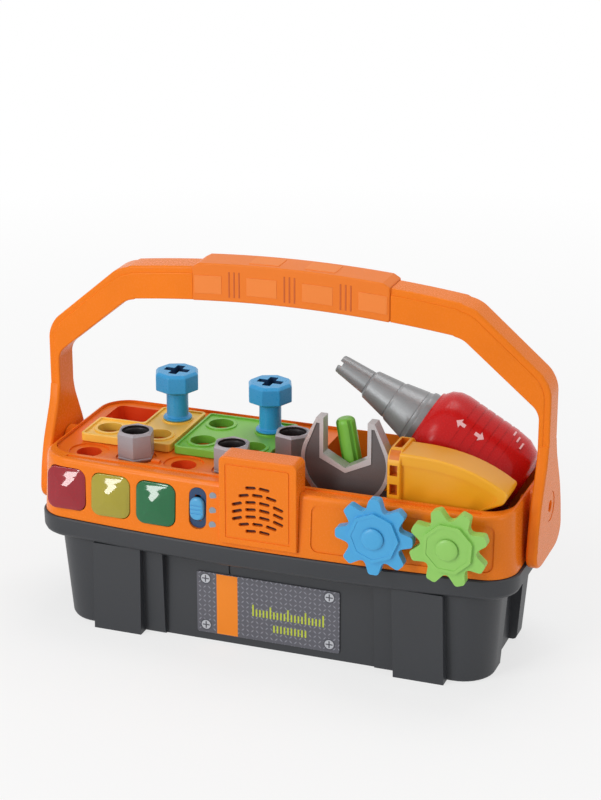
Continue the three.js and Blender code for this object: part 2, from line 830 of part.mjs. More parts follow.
function pivotBosses() {
  const outer = sidePrism(disc(0, pivotZ, pinBoss, 20), trayHalf - trayWall - trayLeanX, armInner - gap);
  const inner = sidePrism(disc(0, pivotZ, pinBoss, 20), pinReach, trayHalf - trayWall)
    .intersect(block(0, trayHalf, -pinBoss, pinBoss, 0, deckFoot - gap));
  const boss = join(outer, inner);
  return [boss, boss.mirror([1, 0, 0])];
}

function pivotHoles() {
  const hole = sidePrism(disc(0, pivotZ, pinRadius + gap, 16), pinReach - overrun, armInner + overrun);
  return [hole, hole.mirror([1, 0, 0])];
}

function caseBosses() {
  const top = trayFoot + caseScrewLong / 2;
  return caseScrewPlaces.map(([, x, y]) => prism(disc(x, y, caseBoss, 12), trayFoot, top));
}

function buttonWindow(x) {
  const shape = roundedRect(x, buttonZ, buttonWide + 2 * buttonClear, buttonTall + 2 * buttonClear,
    buttonCorner + buttonClear);
  return frontPrism(shape, -(trayFront + overrun), -(housingBack + housingWall));
}

function knobSlot() {
  const face = trayFaceY(knobX, knobZ);
  const recess = frontPrism(
    roundedRect(knobX, knobZ, slotWide, slotTall, slotWide / 2 - gap), face - overrun,
    face + slotDeep);
  const slit = frontPrism(
    roundedRect(knobX, knobZ, knobStem + 2 * gap, stemSlot, knobStem / 2), face - overrun,
    -(housingBack + housingWall));
  return [recess, slit];
}

const coverLeft = coverX - coverWide / 2;
const coverBack = coverFront - coverDeep;

function coverNotch() {
  return block(coverLeft - gap, coverLeft + coverWide + gap, -(trayFront + overrun), -(coverBack - gap),
    coverFoot - gap, trayTop + overrun);
}

function speakerCover() {
  const height = coverTop - coverFoot;
  const shape = roundedRect(coverX, coverFoot + height / 2, coverWide, height, coverCorner);
  const shell = frontPrism(shape, -coverFront, -coverBack);
  const square = block(coverLeft, coverLeft + coverWide, -coverFront, -coverBack, coverFoot,
    coverFoot + height / 2);
  const hollow = block(coverLeft + coverWall, coverLeft + coverWide - coverWall, -(coverFront - coverWall),
    -(coverBack + coverWall), coverFoot - overrun, coverTop - coverWall);
  return piece('speaker_cover', cut(join(shell, square), hollow, ...grilleSlots()), orange);
}

// Rows of slots inside a circle, each row in two halves with a bridge between them
function grilleSlots() {
  const pitch = 2 * grilleRadius / grilleRows;
  return Array.from({ length: grilleRows }, (_, row) => (row + 0.5) * pitch - grilleRadius).flatMap((dz) => {
    const reach = Math.sqrt(grilleRadius ** 2 - dz ** 2);
    return [-1, 1].map((side) => {
      const [x0, x1] = [coverX + side * grilleBridge / 2, coverX + side * reach];
      return block(Math.min(x0, x1), Math.max(x0, x1),
        -(coverFront + overrun), -(coverFront - coverWall - gap),
        grilleZ + dz - grilleSlot / 2, grilleZ + dz + grilleSlot / 2);
    });
  });
}

function speaker() {
  const body = turned([[0, 0], [speakerMagnet, 0], [speakerMagnet, speakerDeep - speakerRim],
    [speakerRadius, speakerDeep - speakerRim / 2], [speakerRadius, speakerDeep], [0, speakerDeep]]);
  const y = -(coverFront - coverWall - gap) + speakerDeep;
  return piece('speaker', faceFront(body).translate([coverX, y, grilleZ]), steel);
}

function projectDeck() {
  const left = block(-trayHalf, dividerX, -trayFront, trayBack, 0, trayTop + overrun);
  const plate = prism(polygon(openingRing(gap)), deckFoot, deckTop).intersect(left);
  const wall = prism(polygon(openingRing(gap)), flangeTop + 2 * gap, deckTop)
    .intersect(block(dividerX - dividerWall, dividerX, -trayFront, trayBack, 0, trayTop));
  const [x0, y0] = [pocketLeft, pocketFrontY];
  const [x1, y1] = [pocketLeft + pocketWide, pocketFrontY + pocketLong];
  const bowl = block(x0, x1, y0, y1, deckTop - pocketDeep - pocketWall, deckTop)
    .intersect(prism(polygon(openingRing(ledge + 2 * gap)), 0, trayTop));
  const hollow = block(x0 + pocketWall, x1 - pocketWall, y0 + pocketWall, y1 - pocketWall,
    deckTop - pocketDeep,
    trayTop).intersect(prism(polygon(openingRing(ledge + 2 * gap + pocketWall)), 0, trayTop + overrun));
  const tab = block(tabX - tabWide / 2, tabX + tabWide / 2, tabY, tabY + tabDeep, deckFoot,
    deckTop + tabTall);
  const seats = rowPlaces.map(([x, y]) => prism(disc(x, y, seatRadius, 16), deckTop - seatDeep, trayTop));
  const holes = [...rowPlaces, ...yellowHoles, ...greenHoles]
    .map(([x, y]) => prism(disc(x, y, deckHole, 12), deckFoot - overrun, trayTop));
  return piece('project_deck', cut(join(plate, wall, bowl), hollow, ...seats, ...holes).add(tab), orange);
}

const rowPlaces = [0, 1, 2, 3].map((i) => [rowX + i * rowPitch, rowY]);
const holesOf = (x) => [-1, 1].flatMap((j) => [-1, 1].map((i) => [
  x + i * platePitch / 2, plateY + j * plateRowPitch / 2]));
const greenHoles = holesOf(greenX);
const yellowHoles = holesOf(yellowX).filter(([x, y]) => x > yellowX || y < plateY);

// Lights and switch

function buttonRing(inset) {
  return roundedRectPoints(buttonWide - 2 * inset, buttonTall - 2 * inset,
    Math.max(buttonCorner - inset, gap));
}

function roundedRectPoints(wide, tall, radius) {
  return roundedRect(0, 0, wide, tall, radius).getPoints(1).map(({ x, y }) => [x, y]);
}

const domeShares = [[0, 0], [0.35, 0.55], [1, 0.85], [2.6, 1]];

function lightButton(name, x, material) {
  const face = trayFaceY(x, buttonZ);
  const crown = domeShares.map(([across, up]) => ({
    points: buttonRing(across * buttonDome), z: buttonProud + up * buttonDome }));
  const back = -buttonBack;
  const cap = loft([{ points: buttonRing(0), z: back }, ...crown]);
  const hollow = loft([
    { points: buttonRing(buttonWall + buttonDome / 2), z: back - overrun },
    { points: buttonRing(buttonWall + buttonDome / 2), z: buttonProud + buttonDome - buttonWall },
  ]);
  const reach = buttonTall / 2 + buttonTab;
  const tabs = cut(
    block(-buttonWide / 4, buttonWide / 4, -reach, reach, back, back + buttonTabThick), hollow);
  return piece(name, faceFront(join(cut(cap, hollow), tabs)).translate([x, face, buttonZ]), material);
}

function ledBoard() {
  const [x0, x1] = [buttonPlaces[0] - buttonWide / 3, knobX + slotWide / 2];
  const body = block(x0, x1, boardY - boardThick, boardY, buttonZ - boardTall / 2, buttonZ + boardTall / 2);
  return piece('lamp_board', body, boardGreen);
}

function lamp(name, x) {
  const round = ledRadius;
  const body = turned([[0, 0], [ledRadius, 0], [ledRadius, ledLong - round], [ledRadius * Math.SQRT1_2,
    ledLong - round * (1 - Math.SQRT1_2)], [0, ledLong]], 12);
  return piece(name, faceFront(body).translate([x, boardY - boardThick - gap, buttonZ]), lampWhite);
}

const switchFront = boardY - boardThick - gap - switchDeep;

function slideSwitch() {
  const body = block(knobX - slotWide / 3, knobX + slotWide / 3, switchFront, switchFront + switchDeep,
    knobZ - switchTall / 2, knobZ + switchTall / 2);
  return piece('slide_switch', body, steel);
}

function slideKnob() {
  const face = trayFaceY(knobX, knobZ) + slotDeep;
  const lean = slotDeep / 2;
  const ring = (inset) => roundedRectPoints(
    knobWide - 2 * inset, knobTall - 2 * inset, knobWide / 2 - inset - gap);
  const cap = loft([
    { points: ring(0), z: gap + lean }, { points: ring(0), z: slotDeep + knobProud / 2 },
    { points: ring(knobWide / 6), z: slotDeep + knobProud },
  ]);
  const stemBack = face - switchFront + gap;
  const stem = block(-knobStem / 2, knobStem / 2, -knobStem, knobStem, stemBack, lean + 2 * gap);
  return piece('slide_knob', faceFront(join(cap, stem)).translate([knobX, face, knobZ]), skyBlue);
}

// Gears

function gearShape(phase) {
  const points = [];
  for (let tooth = 0; tooth < gearTeeth; tooth += 1) {
    const angle = phase + tooth * 2 * Math.PI / gearTeeth;
    const step = Math.PI / gearTeeth;
    const at = (r, side) => [
      r * Math.cos(angle) - side * Math.sin(angle), r * Math.sin(angle) + side * Math.cos(angle)];
    const bevel = gearToothTip / 3;
    points.push(at(gearRoot, -gearToothRoot), at(gearTip - bevel, -gearToothTip),
      at(gearTip, -gearToothTip + bevel), at(gearTip, gearToothTip - bevel),
      at(gearTip - bevel, gearToothTip),
      at(gearRoot, gearToothRoot), [gearRoot * Math.cos(angle + step), gearRoot * Math.sin(angle + step)]);
  }
  return polygon(points);
}

function gear(name, index, degrees, material) {
  const phase = THREE.MathUtils.degToRad(degrees);
  const wheel = solid(new THREE.ExtrudeGeometry(gearShape(phase), {
    depth: gearThick, bevelEnabled: false }));
  const face = solid(new THREE.ExtrudeGeometry(polygon(arc(0, 0, gearFace, degrees, degrees + 360, gearTeeth)
    .slice(0, gearTeeth)), { depth: gearThick + gearFaceTall, bevelEnabled: false }));
  const bore = prism(disc(0, 0, gearBore, 16), -overrun, gearThick + overrun);
  const body = faceFront(cut(join(wheel, face), bore));
  return piece(name, body.translate([gearX + index * gearSpacing, -gearBackY, gearZ]), material);
}

function gearAxle(name, index) {
  const x = gearX + index * gearSpacing;
  const inner = gearBackY + trayFaceY(x, gearZ) + 2 * trayWall;
  const headFoot = gearThick + gearFaceTall + gap;
  const body = turned([[0, -inner], [axleRadius, -inner], [axleRadius, headFoot], [axleHead, headFoot],
    [axleHead, headFoot + axleHeadTall / 2], [axleHead - axleHeadTall / 2, headFoot + axleHeadTall],
    [0, headFoot + axleHeadTall]], 16);
  return piece(name, faceFront(body).translate([x, -gearBackY, gearZ]), index ? gearGreen : gearBlue);
}

// Carry handle

// Height of an arched edge over the box, from its two ends to the middle
const archPoints = (halfLong, low, rise, steps = 8) => Array.from({ length: steps + 1 }, (_, i) => {
  const x = halfLong * (1 - 2 * i / steps);
  return [x, low + rise * (1 - (x / halfLong) ** 2)];
});

const outerHalf = handleSpan / 2;
const armFoot = pivotZ + paddleShoulder - bendRound;

function outerEdge(inset = 0) {
  const half = outerHalf - inset;
  const slope = Math.hypot(outerHalf - bendX, bendHigh - bendLow);
  const [dx, dz] = [(outerHalf - bendX) / slope, (bendHigh - bendLow) / slope];
  const cornerHigh = [bendX - inset * dz / (1 + dx), bendHigh - inset];
  const cornerLow = [half, bendLow - inset * (1 - dx) / dz];
  const round = Math.max(bendRound - inset, gap);
  const right = [
    [half, armFoot], [half, cornerLow[1] - round],
    [half - round * dx / 3, cornerLow[1] + round * dz / 3],
    [half - round * dx, cornerLow[1] + round * dz],
  ];
  const left = right.map(([x, z]) => [-x, z]).reverse();
  return [...right, ...archPoints(cornerHigh[0], cornerHigh[1], archRise), ...left];
}

function innerEdge() {
  return [[armInner, armFoot], [armInner, webLow], ...archPoints(webX, webHigh, webRise),
    [-armInner, webLow],
    [-armInner, armFoot]];
}

// The stretch of the bar under the grip, its lower edge raised by low and its upper edge by high
function barBand(half, low, high) {
  const steps = 8;
  const edge = (foot, rise, long) => Array.from({ length: steps + 1 }, (_, i) => {
    const x = half * (1 - 2 * i / steps);
    return [x, foot + rise * (1 - (x / long) ** 2)];
  });
  const top = edge(bendHigh + high, archRise, bendX);
  const bottom = edge(webHigh + low, webRise, webX).reverse();
  return polygon([...top, ...bottom]);
}

function paddleShape() {
  const [arm, half] = [handleDepth / 2, paddleHalf];
  const foot = pivotZ - paddleDrop;
  const shoulder = pivotZ + paddleShoulder;
  const flareShares = [[0, 1], [0.12, 0.74], [0.42, 0.44], [0.7, 0.16], [0.9, -0.18], [1, -0.5]];
  const right = flareShares.map(([out, up]) => [
    arm + (half - arm) * out, pivotZ + (shoulder - pivotZ) * up]).reverse();
  const corner = arc(half - paddleCorner, foot + paddleCorner, paddleCorner, -90, 0, 5);
  const side = [...corner, ...right.slice(1)];
  return polygon([...side, ...side.map(([y, z]) => [-y, z]).reverse()]);
}

function handleFrame() {
  const strap = frontPrism(polygon([...outerEdge(), ...outerEdge(armThick).reverse()]), -handleDepth / 2,
    handleDepth / 2);
  const webHalf = handleDepth / 2 - webStep;
  const web = frontPrism(polygon([...outerEdge(), ...innerEdge().reverse()]), -webHalf, webHalf);
  const zone = block(-gripHalf - gap, gripHalf + gap, -handleDepth, handleDepth, webHigh - webRise,
    bendHigh + archRise + overrun);
  const coreHalf = handleDepth / 2 + gripProud - gripWall - gap;
  const core = frontPrism(barBand(gripHalf + 2 * gap, gripWall + gap, -gap), -coreHalf, coreHalf);
  const paddle = sidePrism(paddleShape(), armInner, outerHalf);
  const sink = cut(sidePrism(disc(0, pivotZ, pinSink, 24), outerHalf - pinSinkDeep, outerHalf + overrun),
    sidePrism(disc(0, pivotZ, pinSink - pinSinkDeep, 24), outerHalf - overrun, outerHalf + overrun));
  const seat = join(sidePrism(disc(0, pivotZ, pinRadius + gap, 16), armInner - overrun, outerHalf + overrun),
    sidePrism(disc(0, pivotZ, pinHead + gap, 20), outerHalf - pinHeadTall - gap, outerHalf + overrun));
  let body = join(cut(join(strap, web), zone), core, paddle, paddle.mirror([1, 0, 0]));
  for (const cutter of [sink, seat]) body = cut(body, cutter, cutter.mirror([1, 0, 0]));
  return piece('handle_frame', body, orange);
}

function handleGrip() {
  const half = handleDepth / 2 + gripProud;
  const outer = frontPrism(barBand(gripHalf, 0, gripRaise), -half, half);
  const inner = frontPrism(barBand(gripHalf + overrun, gripWall, 0), -(half - gripWall), half - gripWall);
  const drop = archRise * (gripHalf / bendX) ** 2;
  const top = bendHigh + archRise - drop;
  const [start, end, high] = [gripHalf - gripBevel, gripHalf + overrun, top + 2 * gripRaise + archRise];
  const ramp = polygon([[end, top], [gripHalf, top + gripRaise / 4],
    [start, top + gripRaise + archRise / 4 + gap], [start, high], [end, high]]);
  const bevel = frontPrism(ramp, -handleDepth, handleDepth);
  return piece('handle_grip', cut(outer, inner, bevel, bevel.mirror([1, 0, 0])), orange);
}

function pivotPins() {
  const inner = pinReach - 2 * gap;
  const shoulder = outerHalf - pinHeadTall;
  const pin = join(sidePrism(disc(0, pivotZ, pinRadius, 16), inner, shoulder + gap),
    sidePrism(disc(0, pivotZ, pinHead, 20), shoulder, outerHalf - gap));
  return [piece('pivot_pin_right', pin, orange), piece('pivot_pin_left', pin.mirror([1, 0, 0]), orange)];
}

// Plates, screws and nuts

function projectPlate(name, shape, holes, material) {
  const foot = deckTop + gap;
  const top = foot + plateThick;
  const skin = foot + plateSkin;
  const slab = prism(shape(0), foot, top);
  const well = prism(shape(plateRim), skin, top + overrun);
  const rings = holes.map(([x, y]) => prism(disc(x, y, plateRing, 16), skin - gap, skin + plateRingTall));
  const bores = holes.map(([x, y]) => prism(disc(x, y, plateHole, 16), foot - overrun, top + overrun));
  return piece(name, cut(join(cut(slab, well), ...rings), ...bores), material);
}

const greenShape = (inset) => roundedRect(greenX, plateY, plateSide - 2 * inset, plateSide - 2 * inset,
  plateCorner, 2);

function yellowShape(inset) {
  const [left, right] = [yellowX - plateSide / 2 + inset, yellowX + plateSide / 2 - inset];
  const [front, back] = [plateY - plateSide / 2 + inset, plateY + plateSide / 2 - inset];
  const [stepX, stepY] = [yellowX + inset, plateY - inset];
  return polygon([[left, front], [right, front], [right, back], [stepX, back], [stepX, stepY],
    [left, stepY]]);
}

// A toy screw standing in a plate's hole, about its own axis
function toyScrew(name, [x, y]) {
  const seat = deckTop + gap + plateSkin + plateRingTall + gap;
  const headFoot = screwNeckTall + screwTaper;
  const headTop = headFoot + screwHeadTall;
  const thread = [];
  for (let z = -screwBelow + screwThreadPitch / 2; z < -screwThreadPitch; z += screwThreadPitch) {
    thread.push([screwShank, z], [screwShank - screwThreadDeep, z + screwThreadPitch / 2]);
  }
  const shank = turned([[0, -screwBelow], [screwShank - screwThreadDeep, -screwBelow], ...thread,
    [screwShank, 0],
    [screwFlange, 0], [screwFlange, screwFlangeTall], [screwShank, screwFlangeTall + screwThreadDeep],
    [screwShank, screwNeckTall], [0, screwNeckTall]], 12);
  const head = turned([[0, screwNeckTall - gap], [screwShank, screwNeckTall - gap], [screwHead, headFoot],
    [screwHead, headTop - screwBevel], [screwHead - screwBevel, headTop], [0, headTop]], 8);
  const arm = block(-crossLong / 2, crossLong / 2, -crossWide / 2, crossWide / 2, headTop - crossDeep,
    headTop + overrun);
  const cross = join(arm, arm.rotate([0, 0, 90]));
  return piece(name, cut(join(shank, head), cross).translate([x, y, seat]), skyBlue);
}

function toyNut(name, x, y, z) {
  const hex = turned([[0, 0], [nutRadius - nutBevel, 0], [nutRadius, nutBevel],
    [nutRadius, nutTall - nutBevel],
    [nutRadius - nutBevel, nutTall], [0, nutTall]], 6);
  const bore = prism(disc(0, 0, nutBore, 16), -overrun, nutTall + overrun);
  return piece(name, cut(hex, bore).rotate([0, 0, nutTurn]).translate([x, y, z]), nutGrey);
}

// Hand tools

function wrench() {
  const throat = wrenchZ - wrenchThroat;
  const top = wrenchZ + wrenchTipRise;
  const shoulder = throat + wrenchJaw * jawShoulderShare;
  const tip = wrenchJaw + wrenchThroat;
  const rim = arc(wrenchX, wrenchZ, wrenchHead, wrenchEar, 3 * halfTurn - wrenchEar, 20);
  const blank = polygon([...rim, [wrenchX + tip, top], [wrenchX - tip, top]]);
  const mouth = polygon([[wrenchX - tip, top + overrun], [wrenchX - tip, top],
    [wrenchX - wrenchJaw, top - wrenchThroat], [wrenchX - wrenchJaw, shoulder], [wrenchX, throat],
    [wrenchX + wrenchJaw, shoulder], [wrenchX + wrenchJaw, top - wrenchThroat], [wrenchX + tip, top],
    [wrenchX + tip, top + overrun]]);
  const faces = [wrenchY - wrenchThick / 2, wrenchY + wrenchThick / 2];
  const head = cut(frontPrism(blank, ...faces), frontPrism(mouth, faces[0] - overrun, faces[1] + overrun));
  const shaftTop = wrenchZ - wrenchHead / 2;
  const shaft = roundedRect(wrenchX, (binFloor + shaftTop) / 2, wrenchShaft, shaftTop - binFloor,
    wrenchShaft / 2 - gap);
  return piece('wrench', join(head, frontPrism(shaft, wrenchY - wrenchShaftThick / 2,
    wrenchY + wrenchShaftThick / 2)), wrenchGrey);
}

function screwdriver() {
  const blade = turned([[0, -bladeLong], [bladeRadius, -bladeLong], [bladeRadius, -bladeTip],
    [bladeRadius - bladeTip / 2, 0], [0, 0]], 16);
  const flutes = [45, 135, 225, 315].map((angle) => block(
    bladeRadius - bladeFlute / 2, bladeRadius + overrun,
    -bladeFlute / 2, bladeFlute / 2, -bladeLong / 2, overrun).rotate([0, 0, angle]));
  const tang = prism(disc(0, 0, driverTang, 8), -bladeLong - driverTangLong, -bladeLong + gap);
  const gripTop = -bladeLong - gap;
  const lean = THREE.MathUtils.degToRad(driverLean);
  const driverFoot = -(driverTop - binFloor - driverGrip * Math.sin(lean)) / Math.cos(lean);
  const grip = turned([[0, driverFoot], [driverGrip - driverBevel, driverFoot],
    [driverGrip, driverFoot + driverBevel], [driverGrip, gripTop - driverNeckLong],
    [driverGrip - driverNeck, gripTop - driverNeckLong / 2], [driverGrip - driverNeck / 2, gripTop],
    [0, gripTop]], 12);
  const socket = prism(disc(0, 0, driverTang + gap, 12), -bladeLong - driverTangLong - gap, 0);
  const group = new THREE.Group();
  group.position.set(driverX, driverY, driverTop);
  group.rotation.y = -lean;
  group.add(piece('screwdriver_blade', join(cut(blade, ...flutes), tang), gearGreen));
  group.add(piece('screwdriver_grip', cut(grip, socket), orange));
  return group;
}

function hammer() {
  const front = hammerBack - hammerThick;
  const profile = polygon([
    [hammerLeft - gap, hammerFoot], [hammerBend, hammerFoot], [hammerTipX - hammerNose, hammerTipFoot],
    [hammerTipX, hammerTipFoot + hammerNose], [hammerTipX, hammerTipTop - hammerNose],
    [hammerTipX - hammerNose, hammerTipTop], [hammerBend + hammerShoulder, hammerTop - hammerShoulderDrop],
    [hammerBend, hammerTop - hammerCrestDrop], [hammerBend - hammerCrest, hammerTop],
    [hammerLeft - gap, hammerTop]]);
  const claw = frontPrism(profile, front, hammerBack);
  const faceShape = roundedRect(
    faceFrontY + faceDeep / 2, (faceTop + faceFoot) / 2, faceDeep, faceTop - faceFoot,
    faceCorner);
  const face = sidePrism(faceShape, faceLeft, faceLeft + faceThick);
  const mid = faceLeft + faceThick / 2;
  const windows = Array.from({ length: windowCount }, (_, i) => {
    const z = faceTop - faceCorner - i * windowPitch;
    return block(mid - windowWide / 2, mid + windowWide / 2, faceFrontY - overrun, faceFrontY + windowDeep,
      z - windowTall, z);
  });
  const topWindow = block(mid - windowWide / 2, mid + windowWide / 2, faceFrontY + faceCorner,
    faceFrontY + faceDeep - faceCorner, faceTop - windowDeep, faceTop + overrun);
  const y = front + hammerThick / 2;
  const socket = block(hammerGripX - hammerGripWide / 2 - gap, hammerGripX + hammerGripWide / 2 + gap,
    y - hammerGripThick / 2 - gap, y + hammerGripThick / 2 + gap, hammerFoot - overrun,
    hammerFoot + hammerSocket + gap);
  const gripShape = roundedRect(hammerGripX, y, hammerGripWide, hammerGripThick, hammerGripCorner);
  const grip = prism(gripShape, binFloor, hammerFoot + hammerSocket);
  return [piece('hammer_head', cut(join(claw, face), ...windows, topWindow, socket), toolYellow),
    piece('hammer_grip', grip, skyBlue)];
}

// Drill. Turned pieces are made about Z and laid along X, with their height running to the back.
const along = (body) => body.rotate([0, 90, 0]);

const barrelShares = [[0.73, 0], [0.75, 0.02], [0.88, 0.06], [0.97, 0.13], [1, 0.2], [1, 0.7], [0.96, 0.84],
  [0.84, 0.94], [0.62, 1]];

function barrel(inset) {
  const profile = barrelShares.map(([out, back]) => [
    out * barrelRadius - inset, barrelStart + inset + back * (barrelLong - 2 * inset)]);
  return along(turned([[0, profile[0][1]], ...profile, [0, profile.at(-1)[1]]], 20));
}

function drillGrip(inset) {
  return prism(roundedRect(gripX + gripLong / 2, 0, gripLong - 2 * inset, 2 * (gripHalfThick - inset),
    gripCorner - inset, 3), -gripFoot - (inset ? overrun : 0), -barrelRadius / 2);
}

const gearboxStart = barrelStart + barrelWall + gap;
const motorStart = gearboxStart + gearboxLong + gap;

// A rib across the barrel that holds a round part on the axis
function drillRib(x, radius) {
  const disk = block(x, x + ribThick, -barrelRadius, barrelRadius, -radius - barrelWall, barrelRadius);
  return cut(disk, along(prism(disc(0, 0, radius + gap, 16), x - overrun, x + overrun)));
}

function drillShells() {
  const noseBore = along(
    prism(disc(0, 0, bitRadius + gap, 20), barrelStart - overrun, barrelStart + 2 * overrun));
  const triggerSlot = block(gripX - overrun, gripX + gripLong / 3,
    -triggerWide / 2 - gap, triggerWide / 2 + gap,
    triggerTop - triggerTall - gap, triggerTop + gap);
  const selectorSlot = block(selectorX - selectorLong / 2 - selectorTravel - gap,
    selectorX + selectorLong / 2 + selectorTravel + gap, -barrelRadius - overrun, 0,
    selectorZ - selectorTall / 2 - gap, selectorZ + selectorTall / 2 + gap);
  const outer = join(barrel(0), drillGrip(0));
  const hollow = cut(join(barrel(barrelWall), drillGrip(barrelWall)), drillRib(gearboxStart + spindleLong,
    gearboxRadius), drillRib(motorStart + motorLong / 2, motorRadius));
  const shell = cut(outer, hollow, noseBore, triggerSlot);
  const ends = [barrelStart - overrun, barrelStart + barrelLong + overrun];
  const near = block(...ends, -2 * barrelRadius, -gap / 2, -gripFoot - overrun, 2 * barrelRadius);
  return [piece('drill_shell_near', cut(shell.intersect(near), selectorSlot), red),
    piece('drill_shell_far', shell.intersect(near.mirror([0, 1, 0])), red)];
}

function drillBit() {
  const seat = barrelStart + barrelWall;
  const cone = along(turned([[0, 0], [bitTip, 0], [bitTip + bitFlare, bitFlare],
    [bitNeck, bitNeckLong], [bitStep, bitNeckLong + bitStepLong],
    [bitStep + bitFlare, bitNeckLong + 3 * bitStepLong],
    [bitRadius - bitRimBevel, barrelStart - bitRim], [bitRadius, barrelStart - bitRim / 2],
    [bitRadius, seat],
    [spindle, seat], [spindle, seat + spindleLong], [0, seat + spindleLong]], 20));
  const slit = block(-overrun, bitCrossDeep, -bitCross / 2, bitCross / 2,
    -bitTip - overrun, bitTip + overrun);
  return piece('drill_bit', cut(cone, slit, slit.rotate([90, 0, 0])), bitGrey);
}

function drillWorks() {
  const box = cut(along(prism(disc(0, 0, gearboxRadius, 16), gearboxStart, gearboxStart + gearboxLong)),
    along(prism(disc(0, 0, spindle + gap, 16), gearboxStart - overrun, gearboxStart + spindleLong)));
  const motor = along(prism(disc(0, 0, motorRadius, 16), motorStart, motorStart + motorLong));
  const cellTop = triggerTop - triggerStemTall - 4 * gap;
  const cells = [0, 1].map((i) => {
    const x = gripX + gripLong - barrelWall - (2 * i + 1) * (smallCellRadius + gap / 2);
    return piece(`drill_battery_${i + 1}`,
      prism(disc(x, 0, smallCellRadius, 12), cellTop - smallCellLong, cellTop),
      steel);
  });
  return [piece('drill_gearbox', box, charcoal), piece('drill_motor', motor, steel), ...cells];
}

function drillControls() {
  const triggerShape = roundedRect(
    gripX + gap - triggerOut / 2, 0, triggerOut, triggerWide, triggerOut / 3, 2);
  const paddle = prism(triggerShape, triggerTop - triggerTall, triggerTop);
  const stem = block(gripX - gap, gripX + triggerStem, -triggerWide / 3, triggerWide / 3,
    triggerTop - triggerStemTall, triggerTop);
  const surface = Math.sqrt(barrelRadius ** 2 - selectorZ ** 2);
  const selector = block(selectorX - selectorLong / 2, selectorX + selectorLong / 2, -surface - selectorOut,
    -surface + 2 * barrelWall, selectorZ - selectorTall / 2, selectorZ + selectorTall / 2);
  const butt = prism(roundedRect(gripX + gripLong / 2, 0, gripLong, 2 * gripHalfThick, gripCorner, 3),
    -gripFoot - gap - buttThick, -gripFoot - gap);
  return [piece('drill_trigger', join(paddle, stem), charcoal), piece('drill_selector', selector, charcoal),
    piece('drill_battery_door', butt, charcoal)];
}

function drill() {
  const roll = new THREE.Group();
  roll.rotation.x = THREE.MathUtils.degToRad(drillRoll);
  roll.add(...drillShells(), drillBit(), ...drillWorks(), ...drillControls());
  const dip = new THREE.Group();
  dip.position.set(drillTipX, drillTipY, drillTipZ);
  dip.rotation.y = THREE.MathUtils.degToRad(drillDip);
  dip.add(roll);
  return dip;
}

// Assembly

const toolBox = new THREE.Group();
const lensColours = [['red', lensRed], ['yellow', lensYellow], ['green', lensGreen]];
const nutSeat = deckTop - seatDeep + gap;

toolBox.add(tub(), batteryDoor(), batteryDoorScrew(), batteryBox(), ...batteryCells(), ...batteryContacts());
toolBox.add(mainBoard(), ...caseScrews(), labelPlate(), trayShell(), projectDeck(), speakerCover(),
  speaker());
toolBox.add(ledBoard(), slideSwitch(), slideKnob());
for (const [i, [colour, lens]] of lensColours.entries()) {
  toolBox.add(lightButton(`light_button_${colour}`, buttonPlaces[i], lens));
  toolBox.add(lamp(`lamp_${colour}`, buttonPlaces[i]));
}
toolBox.add(gear('gear_blue', 0, 0, gearBlue), gear('gear_green', 1, greenPhase, gearGreen));
toolBox.add(gearAxle('gear_axle_left', 0), gearAxle('gear_axle_right', 1));
toolBox.add(handleFrame(), handleGrip(), ...pivotPins());
toolBox.add(projectPlate('yellow_plate', yellowShape, yellowHoles, plateYellow));
toolBox.add(projectPlate('green_plate', greenShape, greenHoles, plateGreen));
toolBox.add(toyScrew('toy_screw_left', [yellowX + platePitch / 2, plateY + plateRowPitch / 2]));
toolBox.add(toyScrew('toy_screw_right', [greenX + platePitch / 2, plateY + plateRowPitch / 2]));
toolBox.add(toyNut('toy_nut_left', ...rowPlaces[1], nutSeat));
toolBox.add(toyNut('toy_nut_middle', ...rowPlaces[3], nutSeat));
toolBox.add(toyNut('toy_nut_right', looseNutX, looseNutY, deckTop + gap));
toolBox.add(wrench(), screwdriver(), ...hammer(), drill());

export default toolBox;
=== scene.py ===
# %% [markdown]
# # Dressing a toy tool box
# The frame holds every piece of this toy at its real size, as plain faceted solids that already fit and
# move together. This lesson gives each piece its look. Most pieces are modelled again in the same place
# with round edges and finer curves, and every surface gets a finish made of nodes.

# %% Load the frame
import math

import bmesh
import bpy
from mathutils import Matrix, Vector


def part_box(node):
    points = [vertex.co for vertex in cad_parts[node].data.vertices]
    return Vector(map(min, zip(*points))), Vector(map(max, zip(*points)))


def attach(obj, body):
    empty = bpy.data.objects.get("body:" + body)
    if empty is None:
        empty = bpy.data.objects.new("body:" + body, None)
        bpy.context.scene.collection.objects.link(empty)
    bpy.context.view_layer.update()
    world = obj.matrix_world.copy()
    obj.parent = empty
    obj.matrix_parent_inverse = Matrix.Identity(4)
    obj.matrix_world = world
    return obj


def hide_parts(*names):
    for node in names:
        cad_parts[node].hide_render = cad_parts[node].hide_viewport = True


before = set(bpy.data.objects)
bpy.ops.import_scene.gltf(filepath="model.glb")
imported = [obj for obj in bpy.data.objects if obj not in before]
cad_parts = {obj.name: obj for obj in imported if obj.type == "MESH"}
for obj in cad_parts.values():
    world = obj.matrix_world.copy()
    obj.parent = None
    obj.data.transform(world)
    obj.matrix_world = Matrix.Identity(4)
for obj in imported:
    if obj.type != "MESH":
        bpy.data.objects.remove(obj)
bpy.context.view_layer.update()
MM = 0.001
SIDES = (-1, 1)


def span(node):
    """A node's lowest and highest corner in millimetres."""
    low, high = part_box(node)
    return low / MM, high / MM


def centre(node):
    """The middle of a node's box in millimetres."""
    low, high = span(node)
    return (low + high) / 2


# %% [markdown]
# ## The camera
# A product picture is usually taken with a long lens, so that the box keeps nearly parallel sides. The
# camera stands a metre and a half away, to the right of the front and a little above, and a long lens
# fills the frame. The lens follows from the picture's height, which is its longer side.

